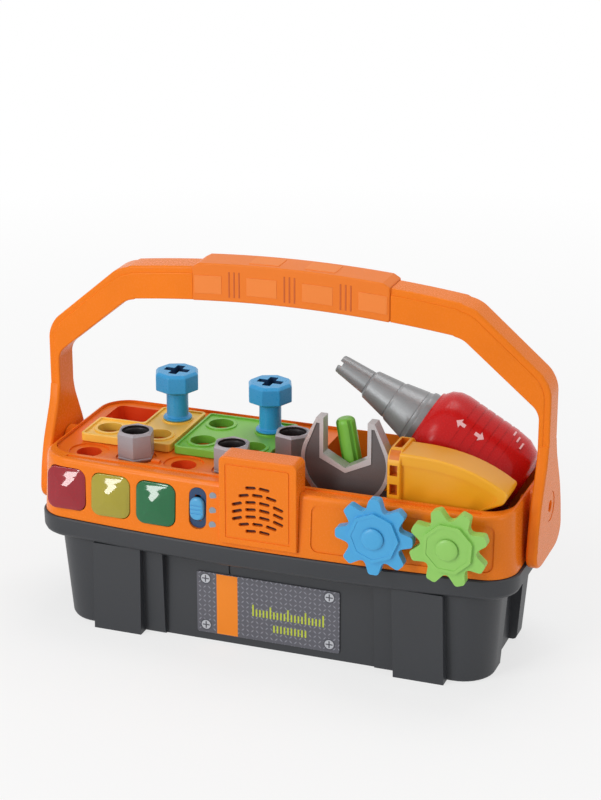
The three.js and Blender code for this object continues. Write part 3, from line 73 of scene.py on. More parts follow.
# %% Place the camera
picture_height = 800
focal_in_pixels = 2314.7
eye = Vector((483.8, -1306.3, 675.9)) * MM
aim = Vector((2.9, 0.7, 155.2)) * MM


def put(name, data, place, spin=0):
    """Adds a camera or a lamp that looks at the middle of the toy, spun about its line of sight."""
    item = bpy.data.objects.new(name, data)
    item.location = place
    item.rotation_mode = "QUATERNION"
    item.rotation_quaternion = ((aim - place).to_track_quat("-Z", "Y")
                                @ Matrix.Rotation(math.radians(spin), 3, "Z").to_quaternion())
    bpy.context.scene.collection.objects.link(item)
    return item


camera_data = bpy.data.cameras.new("camera")
camera_data.sensor_width = 36
camera_data.lens = focal_in_pixels * camera_data.sensor_width / picture_height
bpy.context.scene.camera = put("camera", camera_data, eye)
bpy.context.scene.view_settings.view_transform = "Standard"
print("camera: lens", round(camera_data.lens, 1), "mm")

# %% [markdown]
# ## Tools for nodes
# A finish is a small tree of nodes. These short tools add a node, spread the useful part of a value and
# mix two colours, so that each recipe further on reads in a few lines.


# %% Nodes in few words
def nodes_of(owner):
    """The node tree of a material or a world, with its links."""
    owner.use_nodes = True
    return owner.node_tree.nodes, owner.node_tree.links


def add(nodes, kind, **settings):
    """A new shader node with its settings."""
    node = nodes.new("ShaderNode" + kind)
    for name, value in settings.items():
        setattr(node, name, value)
    return node


def calculate(nodes, links, operation, *values):
    """A math node, fed by sockets or by plain numbers."""
    node = add(nodes, "Math", operation=operation)
    for socket, value in zip(node.inputs, values):
        if isinstance(value, (int, float)):
            socket.default_value = value
        else:
            links.new(value, socket)
    return node.outputs["Value"]


def ranged(nodes, links, value, low, high, start=0.3, end=0.7):
    """The part of a value that matters, spread between two numbers."""
    spread = add(nodes, "MapRange")
    for name, number in (("From Min", start), ("From Max", end), ("To Min", low), ("To Max", high)):
        spread.inputs[name].default_value = number
    links.new(value, spread.inputs["Value"])
    return spread.outputs["Result"]


def blend_colours(nodes, links, factor, first, second):
    """Two colours, or two colour sockets, mixed by a factor."""
    mixed = add(nodes, "Mix", data_type="RGBA")
    links.new(factor, mixed.inputs["Factor"])
    for socket, colour in ((mixed.inputs["A"], first), (mixed.inputs["B"], second)):
        if isinstance(colour, tuple):
            socket.default_value = colour
        else:
            links.new(colour, socket)
    return mixed.outputs["Result"]


# %% [markdown]
# ## Floor and light
# The toy stands on white card under large soft lamps. The card takes the shadow, and only where the
# camera or a reflection looks at it does it also glow a little, so that it reads as white without more
# light falling on the toy. The world does the same above the card.

# %% Make the floor and the world
floor_half, floor_grey, world_grey = 8.0, 0.86, 0.40
glow_near_share, glow_far_share = 0.7, 1.0
glow_near, glow_far = 0.2, 1.1


def seen_directly(nodes, links):
    """1 where the camera, a reflection or clear plastic looks at a surface, and 0 for the light it gives."""
    path = add(nodes, "LightPath")
    total = path.outputs["Is Camera Ray"]
    for name in ("Is Glossy Ray", "Is Transmission Ray"):
        total = calculate(nodes, links, "MAXIMUM", total, path.outputs[name])
    return total


bm = bmesh.new()
bmesh.ops.create_grid(bm, x_segments=1, y_segments=1, size=floor_half)
floor_mesh = bpy.data.meshes.new("floor")
bm.to_mesh(floor_mesh)
bm.free()
floor = bpy.data.objects.new("floor", floor_mesh)
bpy.context.scene.collection.objects.link(floor)

card = bpy.data.materials.new("white_card")
nodes, links = nodes_of(card)
nodes.clear()
matt = add(nodes, "BsdfDiffuse")
matt.inputs["Color"].default_value = (floor_grey, floor_grey, floor_grey, 1)
distance = add(nodes, "VectorMath", operation="LENGTH")
links.new(add(nodes, "TexCoord").outputs["Object"], distance.inputs[0])
fade = ranged(nodes, links, distance.outputs["Value"], glow_near_share, glow_far_share, glow_near, glow_far)
mix = add(nodes, "MixShader")
links.new(calculate(nodes, links, "MULTIPLY", seen_directly(nodes, links), fade), mix.inputs["Fac"])
links.new(matt.outputs["BSDF"], mix.inputs[1])
links.new(add(nodes, "Emission").outputs["Emission"], mix.inputs[2])
links.new(mix.outputs["Shader"], add(nodes, "OutputMaterial").inputs["Surface"])
floor.data.materials.append(card)

world = bpy.data.worlds.new("studio")
bpy.context.scene.world = world
nodes, links = nodes_of(world)
sky = nodes["Background"]
tone = ranged(nodes, links, seen_directly(nodes, links), world_grey, 1.0, 0.0, 1.0)
links.new(tone, sky.inputs["Strength"])
sky.inputs["Color"].default_value = (1, 1, 1, 1)
print("floor and world made")


# %% Hang the lamps
def softbox(name, place, size, watts, tall=None, turn=0):
    """A soft lamp, square unless it has a height."""
    data = bpy.data.lights.new(name, "AREA")
    data.shape = "RECTANGLE"
    data.size = size * MM
    data.size_y = (tall or size) * MM
    data.energy = watts
    put(name, data, Vector(place) * MM, turn)


softbox("key", (-900, -1300, 1300), 700, 9)
softbox("top", (100, 500, 1700), 900, 9)
softbox("side", (1500, -300, 600), 600, 3)
# The strip is low and narrow, and draws the bright streak on each clear button.
softbox("strip", (-600, -1350, 370), 190, 5.6, 700, -20)
print("lamps: key, top, side and strip")

# %% [markdown]
# ## Finishes
# Moulded plastic is never one flat colour. Dye and light change a little over a part, the mould leaves a
# fine grain, and the gloss is uneven. Each finish below is the same short recipe of nodes: a broad noise
# tints the colour, a fine noise feeds the bump and the roughness, and the shader keeps every number that
# is the same all over. Patterns read Object coordinates, so they stay on the piece from every side.

# %% Moulded plastic
cloud_size = 45.0
gloss_less, gloss_more, bump_share = 0.07, 0.05, 1 / 8


def colour_of(text):
    """A colour as painters write it, such as #f57819, in the linear numbers that the shader takes."""
    shares = [int(text[i:i + 2], 16) / 255 for i in (1, 3, 5)]
    linear = [s / 12.92 if s <= 0.04045 else ((s + 0.055) / 1.055) ** 2.4 for s in shares]
    return (*linear, 1)


def tinted(colour, share):
    """A colour made lighter or darker by a share."""
    return tuple(min(1, c * (1 + share)) for c in colour[:3]) + (1,)


def noise(nodes, links, size, detail=3.0):
    """Noise on the piece's own coordinates, with features of about a size in millimetres."""
    texture = add(nodes, "TexNoise")
    texture.inputs["Scale"].default_value = 1 / (size * MM)
    texture.inputs["Detail"].default_value = detail
    links.new(add(nodes, "TexCoord").outputs["Object"], texture.inputs["Vector"])
    return texture.outputs["Fac"]


def moulded(name, text, roughness=0.36, grain=0.12, grain_size=0.8, cloud=0.05, **constants):
    """Moulded plastic: a clouded colour, a fine grain and an uneven gloss."""
    material = bpy.data.materials.new(name)
    nodes, links = nodes_of(material)
    shader = nodes["Principled BSDF"]
    colour = colour_of(text)
    broad, fine = noise(nodes, links, cloud_size), noise(nodes, links, grain_size, 2.0)
    links.new(blend_colours(nodes, links, broad, tinted(colour, -cloud), tinted(colour, cloud)),
              shader.inputs["Base Color"])
    links.new(ranged(nodes, links, fine, roughness - gloss_more, roughness + gloss_less),
              shader.inputs["Roughness"])
    bump = add(nodes, "Bump")
    bump.inputs["Strength"].default_value = grain
    bump.inputs["Distance"].default_value = grain_size * MM * bump_share
    links.new(fine, bump.inputs["Height"])
    links.new(bump.outputs["Normal"], shader.inputs["Normal"])
    for socket, value in constants.items():
        shader.inputs[socket.replace("_", " ").title().replace("Ior", "IOR")].default_value = value
    return material


def silver_paint(name, text, metallic=0.55, roughness=0.38):
    """Plastic painted silver: a moulded finish that is part metal, with fine flakes in its colour."""
    material = moulded(name, text, roughness, 0.12, 0.9, 0.08, metallic=metallic)
    nodes, links = nodes_of(material)
    base = nodes["Principled BSDF"].inputs["Base Color"]
    flakes = ranged(nodes, links, noise(nodes, links, 0.35, 1.0), 0.0, 0.35)
    light = tinted(colour_of(text), 0.5)
    links.new(blend_colours(nodes, links, flakes, base.links[0].from_socket, light), base)
    return material


def clear_plastic(name, text, transmission=0.15):
    """A coloured lens: its clear coat shines, and a little of the lamp behind it shows through."""
    return moulded(name, text, 0.1, 0.01, 4.0, 0.12, transmission_weight=transmission,
                   specular_ior_level=0.0, coat_weight=1.0, coat_roughness=0.04)


orange = moulded("orange_plastic", "#f5801f", 0.24, 0.04, 1.2, 0.05, specular_ior_level=0.16)
orange_handle = moulded("orange_handle", "#f5801f", 0.25, 0.02, 1.2, 0.07, specular_ior_level=0.1)
orange_grip = moulded("orange_grip", "#f07e26", 0.42, 0.3, 0.7, 0.05, specular_ior_level=0.2)
orange_pad = moulded("orange_pad", "#f4883a", 0.5, 0.4, 0.6, 0.05, specular_ior_level=0.25)
# The darker orange is painted shade, for the ribs in the gaps between the grip's pads.
orange_gap_shade = moulded("orange_gap_shade", "#cc601c", 0.6, 0.3, 0.7, 0.05)
orange_dark = moulded("orange_deck", "#f0741e", 0.32, 0.06, 1.2, 0.08, specular_ior_level=0.2)
# The darker red-orange is painted shade for the deck's pocket and the cups under the nut seats.
pocket_shade_orange = moulded("orange_pocket_shade", "#e5501a", 0.36, 0.1, 1.2, 0.08)
charcoal = moulded("charcoal_plastic", "#303236", 0.46, 0.35, 0.5, 0.08)
charcoal_smooth = moulded("charcoal_smooth", "#2c2c30", 0.35, 0.15, 0.8, 0.06)
gear_blue = moulded("gear_blue", "#45a6dc", 0.34, 0.1, 1.0, 0.05)
gear_green = moulded("gear_green", "#92cc62", 0.34, 0.1, 1.0, 0.05)
screw_blue = moulded("screw_blue", "#339ed8", 0.3, 0.1, 1.0, 0.07)
# The dark blue is painted shade, for the screws' cross recess and the recess round the switch's knob.
blue_shade = moulded("blue_slot_shade", "#1d3f66", 0.4, 0.15, 0.8, 0.06)
knob_blue = moulded("knob_blue", "#4fa6d8", 0.32, 0.1, 1.0, 0.06)
plate_yellow = moulded("plate_yellow", "#fdc84f", 0.34, 0.1, 1.0, 0.06)
plate_green = moulded("plate_green", "#78bd3e", 0.34, 0.1, 1.0, 0.06)
hammer_yellow = moulded("hammer_yellow", "#f3ab1a", 0.33, 0.1, 1.1, 0.06)
hammer_shade = moulded("hammer_shade", "#d8710e", 0.36, 0.1, 1.1, 0.06)
drill_red = moulded("drill_red", "#c81c1e", 0.24, 0.04, 1.2, 0.07, specular_ior_level=0.2)
board_green = moulded("board_green", "#1e5a32", 0.4, 0.2, 0.6, 0.15)
# The speaker's dark red-brown is painted shade: it stands for the shaded orange seen inside the grille's
# slots.
speaker_shade_brown = moulded("speaker_shade_brown", "#4a2016", 0.6, 0.3, 0.5, 0.1)
mark_grey = moulded("mark_grey", "#8a9aa8", 0.4, 0.1, 0.8, 0.06)
mark_pale = moulded("mark_pale", "#eebfc2", 0.4, 0.1, 0.8, 0.06)

# %% [markdown]
# Two families need more than that. The nuts, the wrench and the drill's bit are plastic painted silver, so
# they are half metal with fine flakes, and only small screws and tin are nearly all metal. The lights are
# coloured plastic under a clear, polished coat.

# %% Silver paint, metal and clear plastic
nut_silver = silver_paint("nut_silver", "#9a9498", 0.45)
nut_dark = silver_paint("nut_inside", "#3a3637", 0.3)
wrench_dark = silver_paint("wrench_dark", "#5c5656", 0.35)
# The paler silver is a painted highlight for the wrench's rim and sides.
wrench_highlight = silver_paint("wrench_highlight", "#b4afaf", 0.45, 0.32)
bit_silver = silver_paint("bit_silver", "#85888a", 0.25, 0.36)
steel = silver_paint("steel", "#b9babd", 0.95, 0.28)
tin = silver_paint("tin", "#c9c9c6", 0.9, 0.35)
lens_red = clear_plastic("lens_red", "#a60c22")
lens_yellow = clear_plastic("lens_yellow", "#b3a52a")
lens_green = clear_plastic("lens_green", "#0a6e3c")
lamp_white = clear_plastic("lamp_white", "#e9e8dc", 0.5)

# %% [markdown]
# The label is a printed sheet with a tread plate pattern. It is drawn by splitting the sheet into square
# cells and laying a bar across each cell, turned the other way in every second one.

# %% The tread plate print
tread_pitch, bar_long_share, bar_wide_share = 3.3, 0.46, 0.13


def tread_plate(name, ground, bar):
    """Grey sheet with a bar in each square cell, turned one way or the other like a chessboard."""
    material = moulded(name, ground, 0.42, 0.1, 1.0, 0.1)
    nodes, links = nodes_of(material)

    def sum_of(operation, *values):
        return calculate(nodes, links, operation, *values)

    axes = add(nodes, "SeparateXYZ")
    links.new(add(nodes, "TexCoord").outputs["Object"], axes.inputs["Vector"])
    cells = [sum_of("MULTIPLY", axes.outputs[axis], 1 / (tread_pitch * MM)) for axis in ("X", "Z")]
    across, up = [sum_of("SUBTRACT", sum_of("FRACT", cell), 0.5) for cell in cells]
    odd = sum_of("PINGPONG", sum_of("ADD", *[sum_of("FLOOR", cell) for cell in cells]), 1.0)
    way = sum_of("SUBTRACT", sum_of("MULTIPLY", odd, 2.0), 1.0)
    along = sum_of("ADD", across, sum_of("MULTIPLY", up, way))
    aside = sum_of("SUBTRACT", sum_of("MULTIPLY", across, way), up)
    shares = [sum_of("DIVIDE", sum_of("ABSOLUTE", value), share * math.sqrt(2))
              for value, share in ((along, bar_long_share), (aside, bar_wide_share))]
    inside = sum_of("LESS_THAN", sum_of("ADD", *shares), 1.0)
    base = nodes["Principled BSDF"].inputs["Base Color"]
    links.new(blend_colours(nodes, links, inside, base.links[0].from_socket, colour_of(bar)), base)
    return material


label_print = tread_plate("label_print", "#5c5c64", "#8e8e98")
label_dark = moulded("label_ink", "#4c4c54", 0.42, 0.1, 1.0, 0.05)
label_orange = moulded("label_orange", "#f98a0a", 0.42, 0.1, 1.0, 0.05)
label_lime = moulded("label_lime", "#c3cf3a", 0.42, 0.1, 1.0, 0.05)
label_silver = moulded("label_silver", "#c4c6cc", 0.4, 0.1, 1.0, 0.08)
print("finishes:", len(bpy.data.materials))

# %% [markdown]
# ## Tools for shaping
# All shapes are drawn in millimetres and shrunk to metres at the end. Nearly every part of a moulded toy
# is one of two things: a flat outline pulled to a thickness, or a profile turned round an axis. So there
# is one tool for each, plus three that work on solids: cut, join and keep what is common. Last comes the
# step that makes plastic look moulded, a small bevel on every sharp edge.

# %% Outlines and slabs
weld, same_height = 0.001, 0.001


def outline(corners, rounds=0, segments=8):
    """A flat face through a few corners, each rounded by a vertex bevel of its own size."""
    bm = bmesh.new()
    ring = [bm.verts.new((x, y, 0)) for x, y in corners]
    bm.faces.new(ring)
    radii = rounds if isinstance(rounds, (list, tuple)) else [rounds] * len(ring)
    for corner, radius in zip(ring, radii):
        if radius:
            bmesh.ops.bevel(bm, geom=[corner], offset=radius, segments=segments, profile=0.5,
                            affect="VERTICES", material=-1)
    return bm


# An outline is drawn in X and Y. These turn it so that it faces up, to the front or to the right.
FACING = {
    "z": Matrix.Identity(4),
    "y": Matrix.Rotation(math.pi / 2, 4, "X"),
    "x": Matrix(((0, 0, 1, 0), (1, 0, 0, 0), (0, 1, 0, 0), (0, 0, 0, 1))),
}


def facing(bm, axis):
    """Turns a shape that was made facing up."""
    bmesh.ops.transform(bm, matrix=FACING[axis], verts=bm.verts)
    return bm


def pull(bm, low, high, axis="z"):
    """Pulls an outline from one height to another along an axis, into a closed solid."""
    start, end = (-high, -low) if axis == "y" else (low, high)
    made = bmesh.ops.extrude_face_region(bm, geom=bm.faces[:])["geom"]
    lifted = [item for item in made if isinstance(item, bmesh.types.BMVert)]
    bmesh.ops.translate(bm, verts=lifted, vec=(0, 0, end - start))
    facing(moved(bm, z=start), axis)
    bmesh.ops.recalc_face_normals(bm, faces=bm.faces)
    return bm


def slab(corners, low, high, axis="z", rounds=0, segments=8):
    """An outline pulled to a slab. Corners are x and y, x and z for axis y, or y and z for axis x."""
    return pull(outline(corners, rounds, segments), low, high, axis)


def rectangle(middle_x, middle_y, wide, tall):
    """The four corners of a rectangle about its middle."""
    x, y = wide / 2, tall / 2
    return [(middle_x - x, middle_y - y), (middle_x + x, middle_y - y),
            (middle_x + x, middle_y + y), (middle_x - x, middle_y + y)]


def plate(middle_x, middle_y, wide, tall, low, high, axis="z", rounds=0, segments=8):
    """A rectangle about its middle pulled to a slab."""
    return slab(rectangle(middle_x, middle_y, wide, tall), low, high, axis, rounds, segments)


def block(low, high):
    """A box from its lowest to its highest corner."""
    middle = [(a + b) / 2 for a, b in zip(low, high)]
    size = [b - a for a, b in zip(low, high)]
    return plate(middle[0], middle[1], size[0], size[1], low[2], high[2])


def turned(profile, axis="z", steps=48):
    """A profile of radius and height turned round an axis. For axis y the height points to the front."""
    bm = bmesh.new()
    line = [bm.verts.new((radius, 0, height)) for radius, height in profile]
    edges = [bm.edges.new(pair) for pair in zip(line, line[1:])]
    bmesh.ops.spin(bm, geom=line + edges, cent=(0, 0, 0), axis=(0, 0, 1), angle=math.tau, steps=steps,
                   use_merge=True)
    bmesh.ops.remove_doubles(bm, verts=bm.verts, dist=weld)
    facing(bm, axis)
    bmesh.ops.recalc_face_normals(bm, faces=bm.faces)
    return bm


def moved(bm, x=0, y=0, z=0):
    """A shape shifted in millimetres."""
    bmesh.ops.translate(bm, verts=bm.verts, vec=(x, y, z))
    return bm


def rotated(bm, degrees, axis="Z"):
    """A shape turned about the middle of its frame."""
    bmesh.ops.rotate(bm, verts=bm.verts, matrix=Matrix.Rotation(math.radians(degrees), 3, axis))
    return bm


def rod(radius, low, high, axis="z", place=(0, 0, 0), steps=40):
    """A round rod along an axis, placed by the other two coordinates of a point."""
    start, end = (-high, -low) if axis == "y" else (low, high)
    return moved(turned([(0, start), (radius, start), (radius, end), (0, end)], axis, steps), *place)


# %% Work on solids
def loose_object(bm):
    """A shape as an object for the time that a modifier needs it."""
    mesh = bpy.data.meshes.new("loose")
    bm.to_mesh(mesh)
    bm.free()
    made = bpy.data.objects.new("loose", mesh)
    bpy.context.scene.collection.objects.link(made)
    return made


def worked(bm, tools, operation):
    """A solid with Boolean modifiers applied, one for each tool. The tools are used up."""
    body = loose_object(bm)
    spent = [body]
    for tool in tools:
        spent.append(loose_object(tool))
        modifier = body.modifiers.new("work", "BOOLEAN")
        modifier.operation = operation
        modifier.solver = "MANIFOLD"
        modifier.object = spent[-1]
    graph = bpy.context.evaluated_depsgraph_get()
    result = bmesh.new()
    result.from_mesh(body.evaluated_get(graph).to_mesh())
    for item in spent:
        mesh = item.data
        bpy.data.objects.remove(item)
        bpy.data.meshes.remove(mesh)
    return result


def cut(bm, *tools):
    return worked(bm, tools, "DIFFERENCE")


def join(bm, *tools):
    return worked(bm, tools, "UNION")


def common(bm, *tools):
    return worked(bm, tools, "INTERSECT")


def take_in(target, shape):
    """Copies a shape into another one and frees it."""
    mesh = bpy.data.meshes.new("part")
    shape.to_mesh(mesh)
    shape.free()
    target.from_mesh(mesh)
    bpy.data.meshes.remove(mesh)


def gather(*shapes):
    """Several shapes side by side in one mesh."""
    together = bmesh.new()
    for shape in shapes:
        take_in(together, shape)
    return together


def soften(bm, radius, segments=3, degrees=35, where=None):
    """Bevels the edges that are sharper than an angle, or only those that a test picks."""
    bmesh.ops.remove_doubles(bm, verts=bm.verts, dist=0.01)
    bmesh.ops.dissolve_degenerate(bm, edges=bm.edges, dist=0.005)
    bmesh.ops.dissolve_limit(bm, angle_limit=math.radians(0.05), verts=bm.verts, edges=bm.edges)
    sharp = [edge for edge in bm.edges if len(edge.link_faces) == 2
             and edge.calc_face_angle() > math.radians(degrees) and (where is None or where(edge))]
    bmesh.ops.bevel(bm, geom=sharp, offset=radius, segments=segments, profile=0.5, affect="EDGES",
                    material=-1, clamp_overlap=True)
    return bm


def middle_of(edge):
    return (edge.verts[0].co + edge.verts[1].co) / 2


def upright(edge):
    """Whether an edge climbs by more than a millimetre."""
    return abs(edge.verts[0].co.z - edge.verts[1].co.z) > 1


def paint(bm, test, finish=1):
    """Gives one of a piece's other finishes to the faces that a test on face and middle picks."""
    for face in bm.faces:
        face.material_index = finish if test(face, face.calc_center_median()) else 0
    return bm


def with_finish(bm, finish):
    """A shape whose faces all take one of the piece's finishes."""
    return paint(bm, lambda face, spot: True, finish)


# %% Finish a piece
def dress(bm, name, body, finish, stands_for=(), smooth_degrees=38):
    """Makes a shape an object in metres that rides a body, has a finish and stands for CAD nodes."""
    bmesh.ops.scale(bm, vec=(MM, MM, MM), verts=bm.verts)
    mesh = bpy.data.meshes.new(name)
    bm.to_mesh(mesh)
    bm.free()
    for material in finish if isinstance(finish, (list, tuple)) else [finish]:
        mesh.materials.append(material)
    mesh.polygons.foreach_set("use_smooth", [True] * len(mesh.polygons))
    mesh.set_sharp_from_angle(angle=math.radians(smooth_degrees))
    piece = bpy.data.objects.new(name, mesh)
    bpy.context.scene.collection.objects.link(piece)
    shading = piece.modifiers.new("even_shading", "WEIGHTED_NORMAL")
    shading.keep_sharp = True
    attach(piece, body)
    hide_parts(*stands_for)
    mesh.calc_loop_triangles()
    print(name, len(mesh.loop_triangles), "triangles")
    return piece


# %% [markdown]
# ## The tray
# The orange tray is one moulding: a thin wall that leans in a little all round, a hollow box along the
# front for the lights, and an open middle. Its front bows forward, which a plain extrusion can't give. So
# its outline is drawn at a few heights and the outlines are bridged into a solid. The round top edge is
# five more outlines, each drawn in along a quarter circle.

# %% The box's outline and a loft
def box_plan(half, front, back, corner, bow=0.0, steps=24):
    """The box's outline in plan: round corners, and a front that bows forward in the middle."""
    edge_y = -(front - bow)
    bm = outline([(-half, edge_y), (half, edge_y), (half, back), (-half, back)], corner, 10)
    if bow:
        return bent(bm, edge_y, steps, lambda x: -arch(x, half - corner, bow))
    return bm


def arch(x, half, rise):
    """The height of a flat arch at a place. It is zero at half its length."""
    return rise * (1 - (x / half) ** 2)


def bent(bm, height, steps, lift):
    """Splits a level edge of an outline and lifts its points along a curve."""
    level = [edge for edge in bm.edges if all(abs(vert.co.y - height) < same_height for vert in edge.verts)]
    bmesh.ops.subdivide_edges(bm, edges=level, cuts=steps - 1)
    for vert in bm.verts:
        if abs(vert.co.y - height) < same_height:
            vert.co.y += lift(vert.co.x)
    return bm


def loft(levels):
    """A closed solid through outlines with as many points each, given as (height, outline)."""
    bm = bmesh.new()
    rings = []
    for height, plan in levels:
        known = len(bm.edges)
        take_in(bm, moved(plan, z=height))
        rings.append(list(bm.edges)[known:])
    bmesh.ops.delete(bm, geom=list(bm.faces)[1:-1], context="FACES_ONLY")
    for lower, upper in zip(rings, rings[1:]):
        bmesh.ops.bridge_loops(bm, edges=lower + upper)
    bmesh.ops.recalc_face_normals(bm, faces=bm.faces)
    return bm


tub_low, tub_high = span("base_tub")
tray_foot, tray_top = span("tray_shell")[0].z, span("tray_shell")[1].z
flange_lip = 1.6
tray_half, tray_back, tray_front = tub_high.x - flange_lip, tub_high.y - flange_lip, -tub_low.y - flange_lip
tray_corner = 21.0
bow_at_foot, bow_at_top = 7.0, 4.0
lean_x, lean_y = 2.5, 3.2
rim_drop, rim_inset, rim_steps = 3.4, 2.2, 5
# How far a cutting tool reaches past what it cuts, and the clearance between two pieces.
over, gap = 5.0, 0.3


def tray_share(height):
    return (height - tray_foot) / (tray_top - tray_foot)


def tray_bow(share):
    return bow_at_foot + (bow_at_top - bow_at_foot) * share


def tray_plan(height, inset=0.0):
    """The tray's outline at a height, drawn in by an inset."""
    share = tray_share(height)
    return box_plan(tray_half - lean_x * share - inset, tray_front - lean_y * share - inset,
                    tray_back - inset, tray_corner - inset, tray_bow(share))


def tray_solid(inset=0.0, low=tray_foot, high=tray_top):
    """The tray without its openings, with a straight top edge."""
    return loft([(low, tray_plan(low, inset)), (high, tray_plan(high, inset))])


def tray_face(x, z):
    """How far to the front the tray's face stands at a place, as a Y value."""
    share = tray_share(z)
    side = tray_half - lean_x * share - tray_corner
    return -(tray_front - lean_y * share - tray_bow(share) * min(1, abs(x) / side) ** 2)


print("tray face at the middle:", round(tray_face(0, tray_top), 1), "mm")

# %% Places on the front
opening_half, opening_front, opening_back, opening_corner = tray_half - 5, 47.0, tray_back - 2.5, 18.0
housing_back = 49.0
button_names = ("red", "yellow", "green")
button_x = [centre("light_button_" + name).x for name in button_names]
button_z, button_wide, button_tall, button_corner, window_clear = 96.8, 27.0, 28.2, 6.0, 0.5
knob_low, knob_high = span("slide_knob")
knob_x, knob_z = centre("slide_knob").x, centre("slide_knob").z
slot_wide, slot_tall, slot_deep, slit_wide, slit_tall = 12.0, 28.0, 1.5, 4.0, 18.0
cover_low, cover_high = span("speaker_cover")
gear_centres = [centre("gear_axle_" + side).x for side in ("left", "right")]
gear_z, gear_back = centre("gear_axle_left").z, span("gear_blue")[1].y
pin_low, pivot_z = span("pivot_pin_right")[0], centre("pivot_pin_right").z
print("buttons at", [round(x, 1) for x in button_x], "gears at", [round(x, 1) for x in gear_centres])

# %% Model the tray
panel_left, panel_right, panel_foot, panel_top, panel_deep, panel_corner = 33.0, 149.0, 80.5, 111.5, 0.9, 5.0
groove_from_edge, groove_from_opening, groove_deep = 4.6, 3.0, 0.9
boss_radius, axle_hole = 9.0, 4.3
pivot_boss, pivot_boss_long, pivot_hole = 10.6, 10.9, 5.3
roof, wall = 2.4, 2.5
turns = [math.radians(90 * step / rim_steps) for step in range(1, rim_steps + 1)]
rim_foot = tray_top - rim_drop
levels = [(tray_foot, 0.0), (rim_foot, 0.0)]
levels += [(rim_foot + rim_drop * math.sin(turn), rim_inset * (1 - math.cos(turn))) for turn in turns]
tray = loft([(height, tray_plan(height, inset)) for height, inset in levels])


def on_both_ends(radius, start, end, steps=40):
    """Two rods along X at the handle's pivots, one for each end of the box."""
    ends = [sorted((side * start, side * end)) for side in (1, -1)]
    return [rod(radius, low, high, "x", (0, 0, pivot_z), steps) for low, high in ends]


opening = pull(box_plan(opening_half, opening_front, opening_back, opening_corner), tray_foot - over,
               tray_top + over)
hollow = common(tray_solid(wall, tray_foot - over, tray_top - roof),
                block((-tray_half, -tray_front, tray_foot - 2 * over), (tray_half, -housing_back, tray_top)))
# The band that is sunk in the roof of the light box, between the rim and the opening.
band = common(tray_solid(groove_from_edge, tray_top - groove_deep, tray_top + over),
              block((-tray_half + tray_corner, -tray_front, tray_top - 2 * over),
                    (tray_half - tray_corner, -opening_front - groove_from_opening, tray_top + 2 * over)))
panel = cut(plate((panel_left + panel_right) / 2, (panel_foot + panel_top) / 2, panel_right - panel_left,
                  panel_top - panel_foot, -tray_front - over, -opening_front, "y", panel_corner, 6),
            tray_solid(panel_deep, tray_foot - over, tray_top + over))
tray = cut(tray, opening, hollow, band, panel)
gear_bosses = [rod(boss_radius, gear_back + gap, tray_face(x, gear_z) + wall, "y", (x, 0, gear_z))
               for x in gear_centres]
tray = join(tray, *gear_bosses, *on_both_ends(pivot_boss, opening_half, pin_low.x + pivot_boss_long))
windows = [plate(x, button_z, button_wide + 2 * window_clear, button_tall + 2 * window_clear,
                 -tray_front - over, -housing_back, "y", button_corner + window_clear) for x in button_x]
knob_face = tray_face(knob_x, knob_z)
recess = plate(knob_x, knob_z, slot_wide, slot_tall, knob_face - over, knob_face + slot_deep, "y",
               slot_wide / 2 - gap)
slit = plate(knob_x, knob_z, slit_wide, slit_tall, knob_face - over, -housing_back, "y", 1.7, 6)
notch = block((cover_low.x - gap, -tray_front - over, cover_low.z - gap),
              (cover_high.x + gap, cover_high.y + gap, tray_top + over))
axle_holes = [rod(axle_hole, gear_back - over, -housing_back, "y", (x, 0, gear_z), 24) for x in gear_centres]
tray = cut(tray, *windows, recess, slit, notch, *axle_holes,
           *on_both_ends(pivot_hole, pin_low.x - over, tray_half + over, 24))
dress(soften(tray, 0.55, 3), "tray", "tool_box", orange, ["tray_shell"])

# %% [markdown]
# ## The tub
# The charcoal tub under the tray is also one moulding. Its walls widen upwards by a few millimetres so
# that it leaves the mould, long panels are sunk between the pillars, and a broad flange on top carries the
# tray. The flange is drawn in at its underside in three small steps, because the light picks out that
# slope as a soft band.

# %% Model the tub's outside
tub_top, flange_top, foot_round = 61.5, tray_foot - gap, 2.2
foot_step = 0.3 * foot_round
tub_half, tub_depth, tub_draft_x, tub_draft_y, tub_corner = tray_half - 10, 55.0, 4.5, 3.0, 22.0
panel_half, panel_depth, end_panel_half, end_panel_x = 72.0, 49.0, 20.0, tray_half - 19.5
pillar_near, pillar_wide, pillar_lean, pillar_foot_y, pillar_top_y = 86.7, 33.3, 1.4, 58.6, 60.0
# The flange's outlines: height over the tub's top and inset, and then height under its own top and inset.
flange_under = [(0, 3.6), (1.6, 1.3), (4.0, 0.2)]
flange_over = [(0.8, 0.0), (0, 0.7)]


def tub_plan(height, inset=0.0):
    """The tub's outline at a height."""
    share = 1 - height / tub_top
    depth = tub_depth - tub_draft_y * share - inset
    return box_plan(tub_half - tub_draft_x * share - inset, depth, depth, tub_corner - inset)


def flange_plan(inset):
    return box_plan(tray_half + flange_lip - inset, tray_front + flange_lip - inset,
                    tray_back + flange_lip - inset, tray_corner + flange_lip - inset, bow_at_foot)


def pillar(side_x, side_y):
    """A pillar at a corner of the long wall, standing out a little more at its top than at its foot."""
    def foot_print(depth, shift):
        near = panel_depth / 2
        middle_x = side_x * (pillar_near + pillar_wide / 2 - shift)
        return outline(rectangle(middle_x, side_y * (near + depth) / 2, pillar_wide, depth - near))
    return loft([(0, foot_print(pillar_foot_y, 0)), (tub_top + gap, foot_print(pillar_top_y, pillar_lean))])


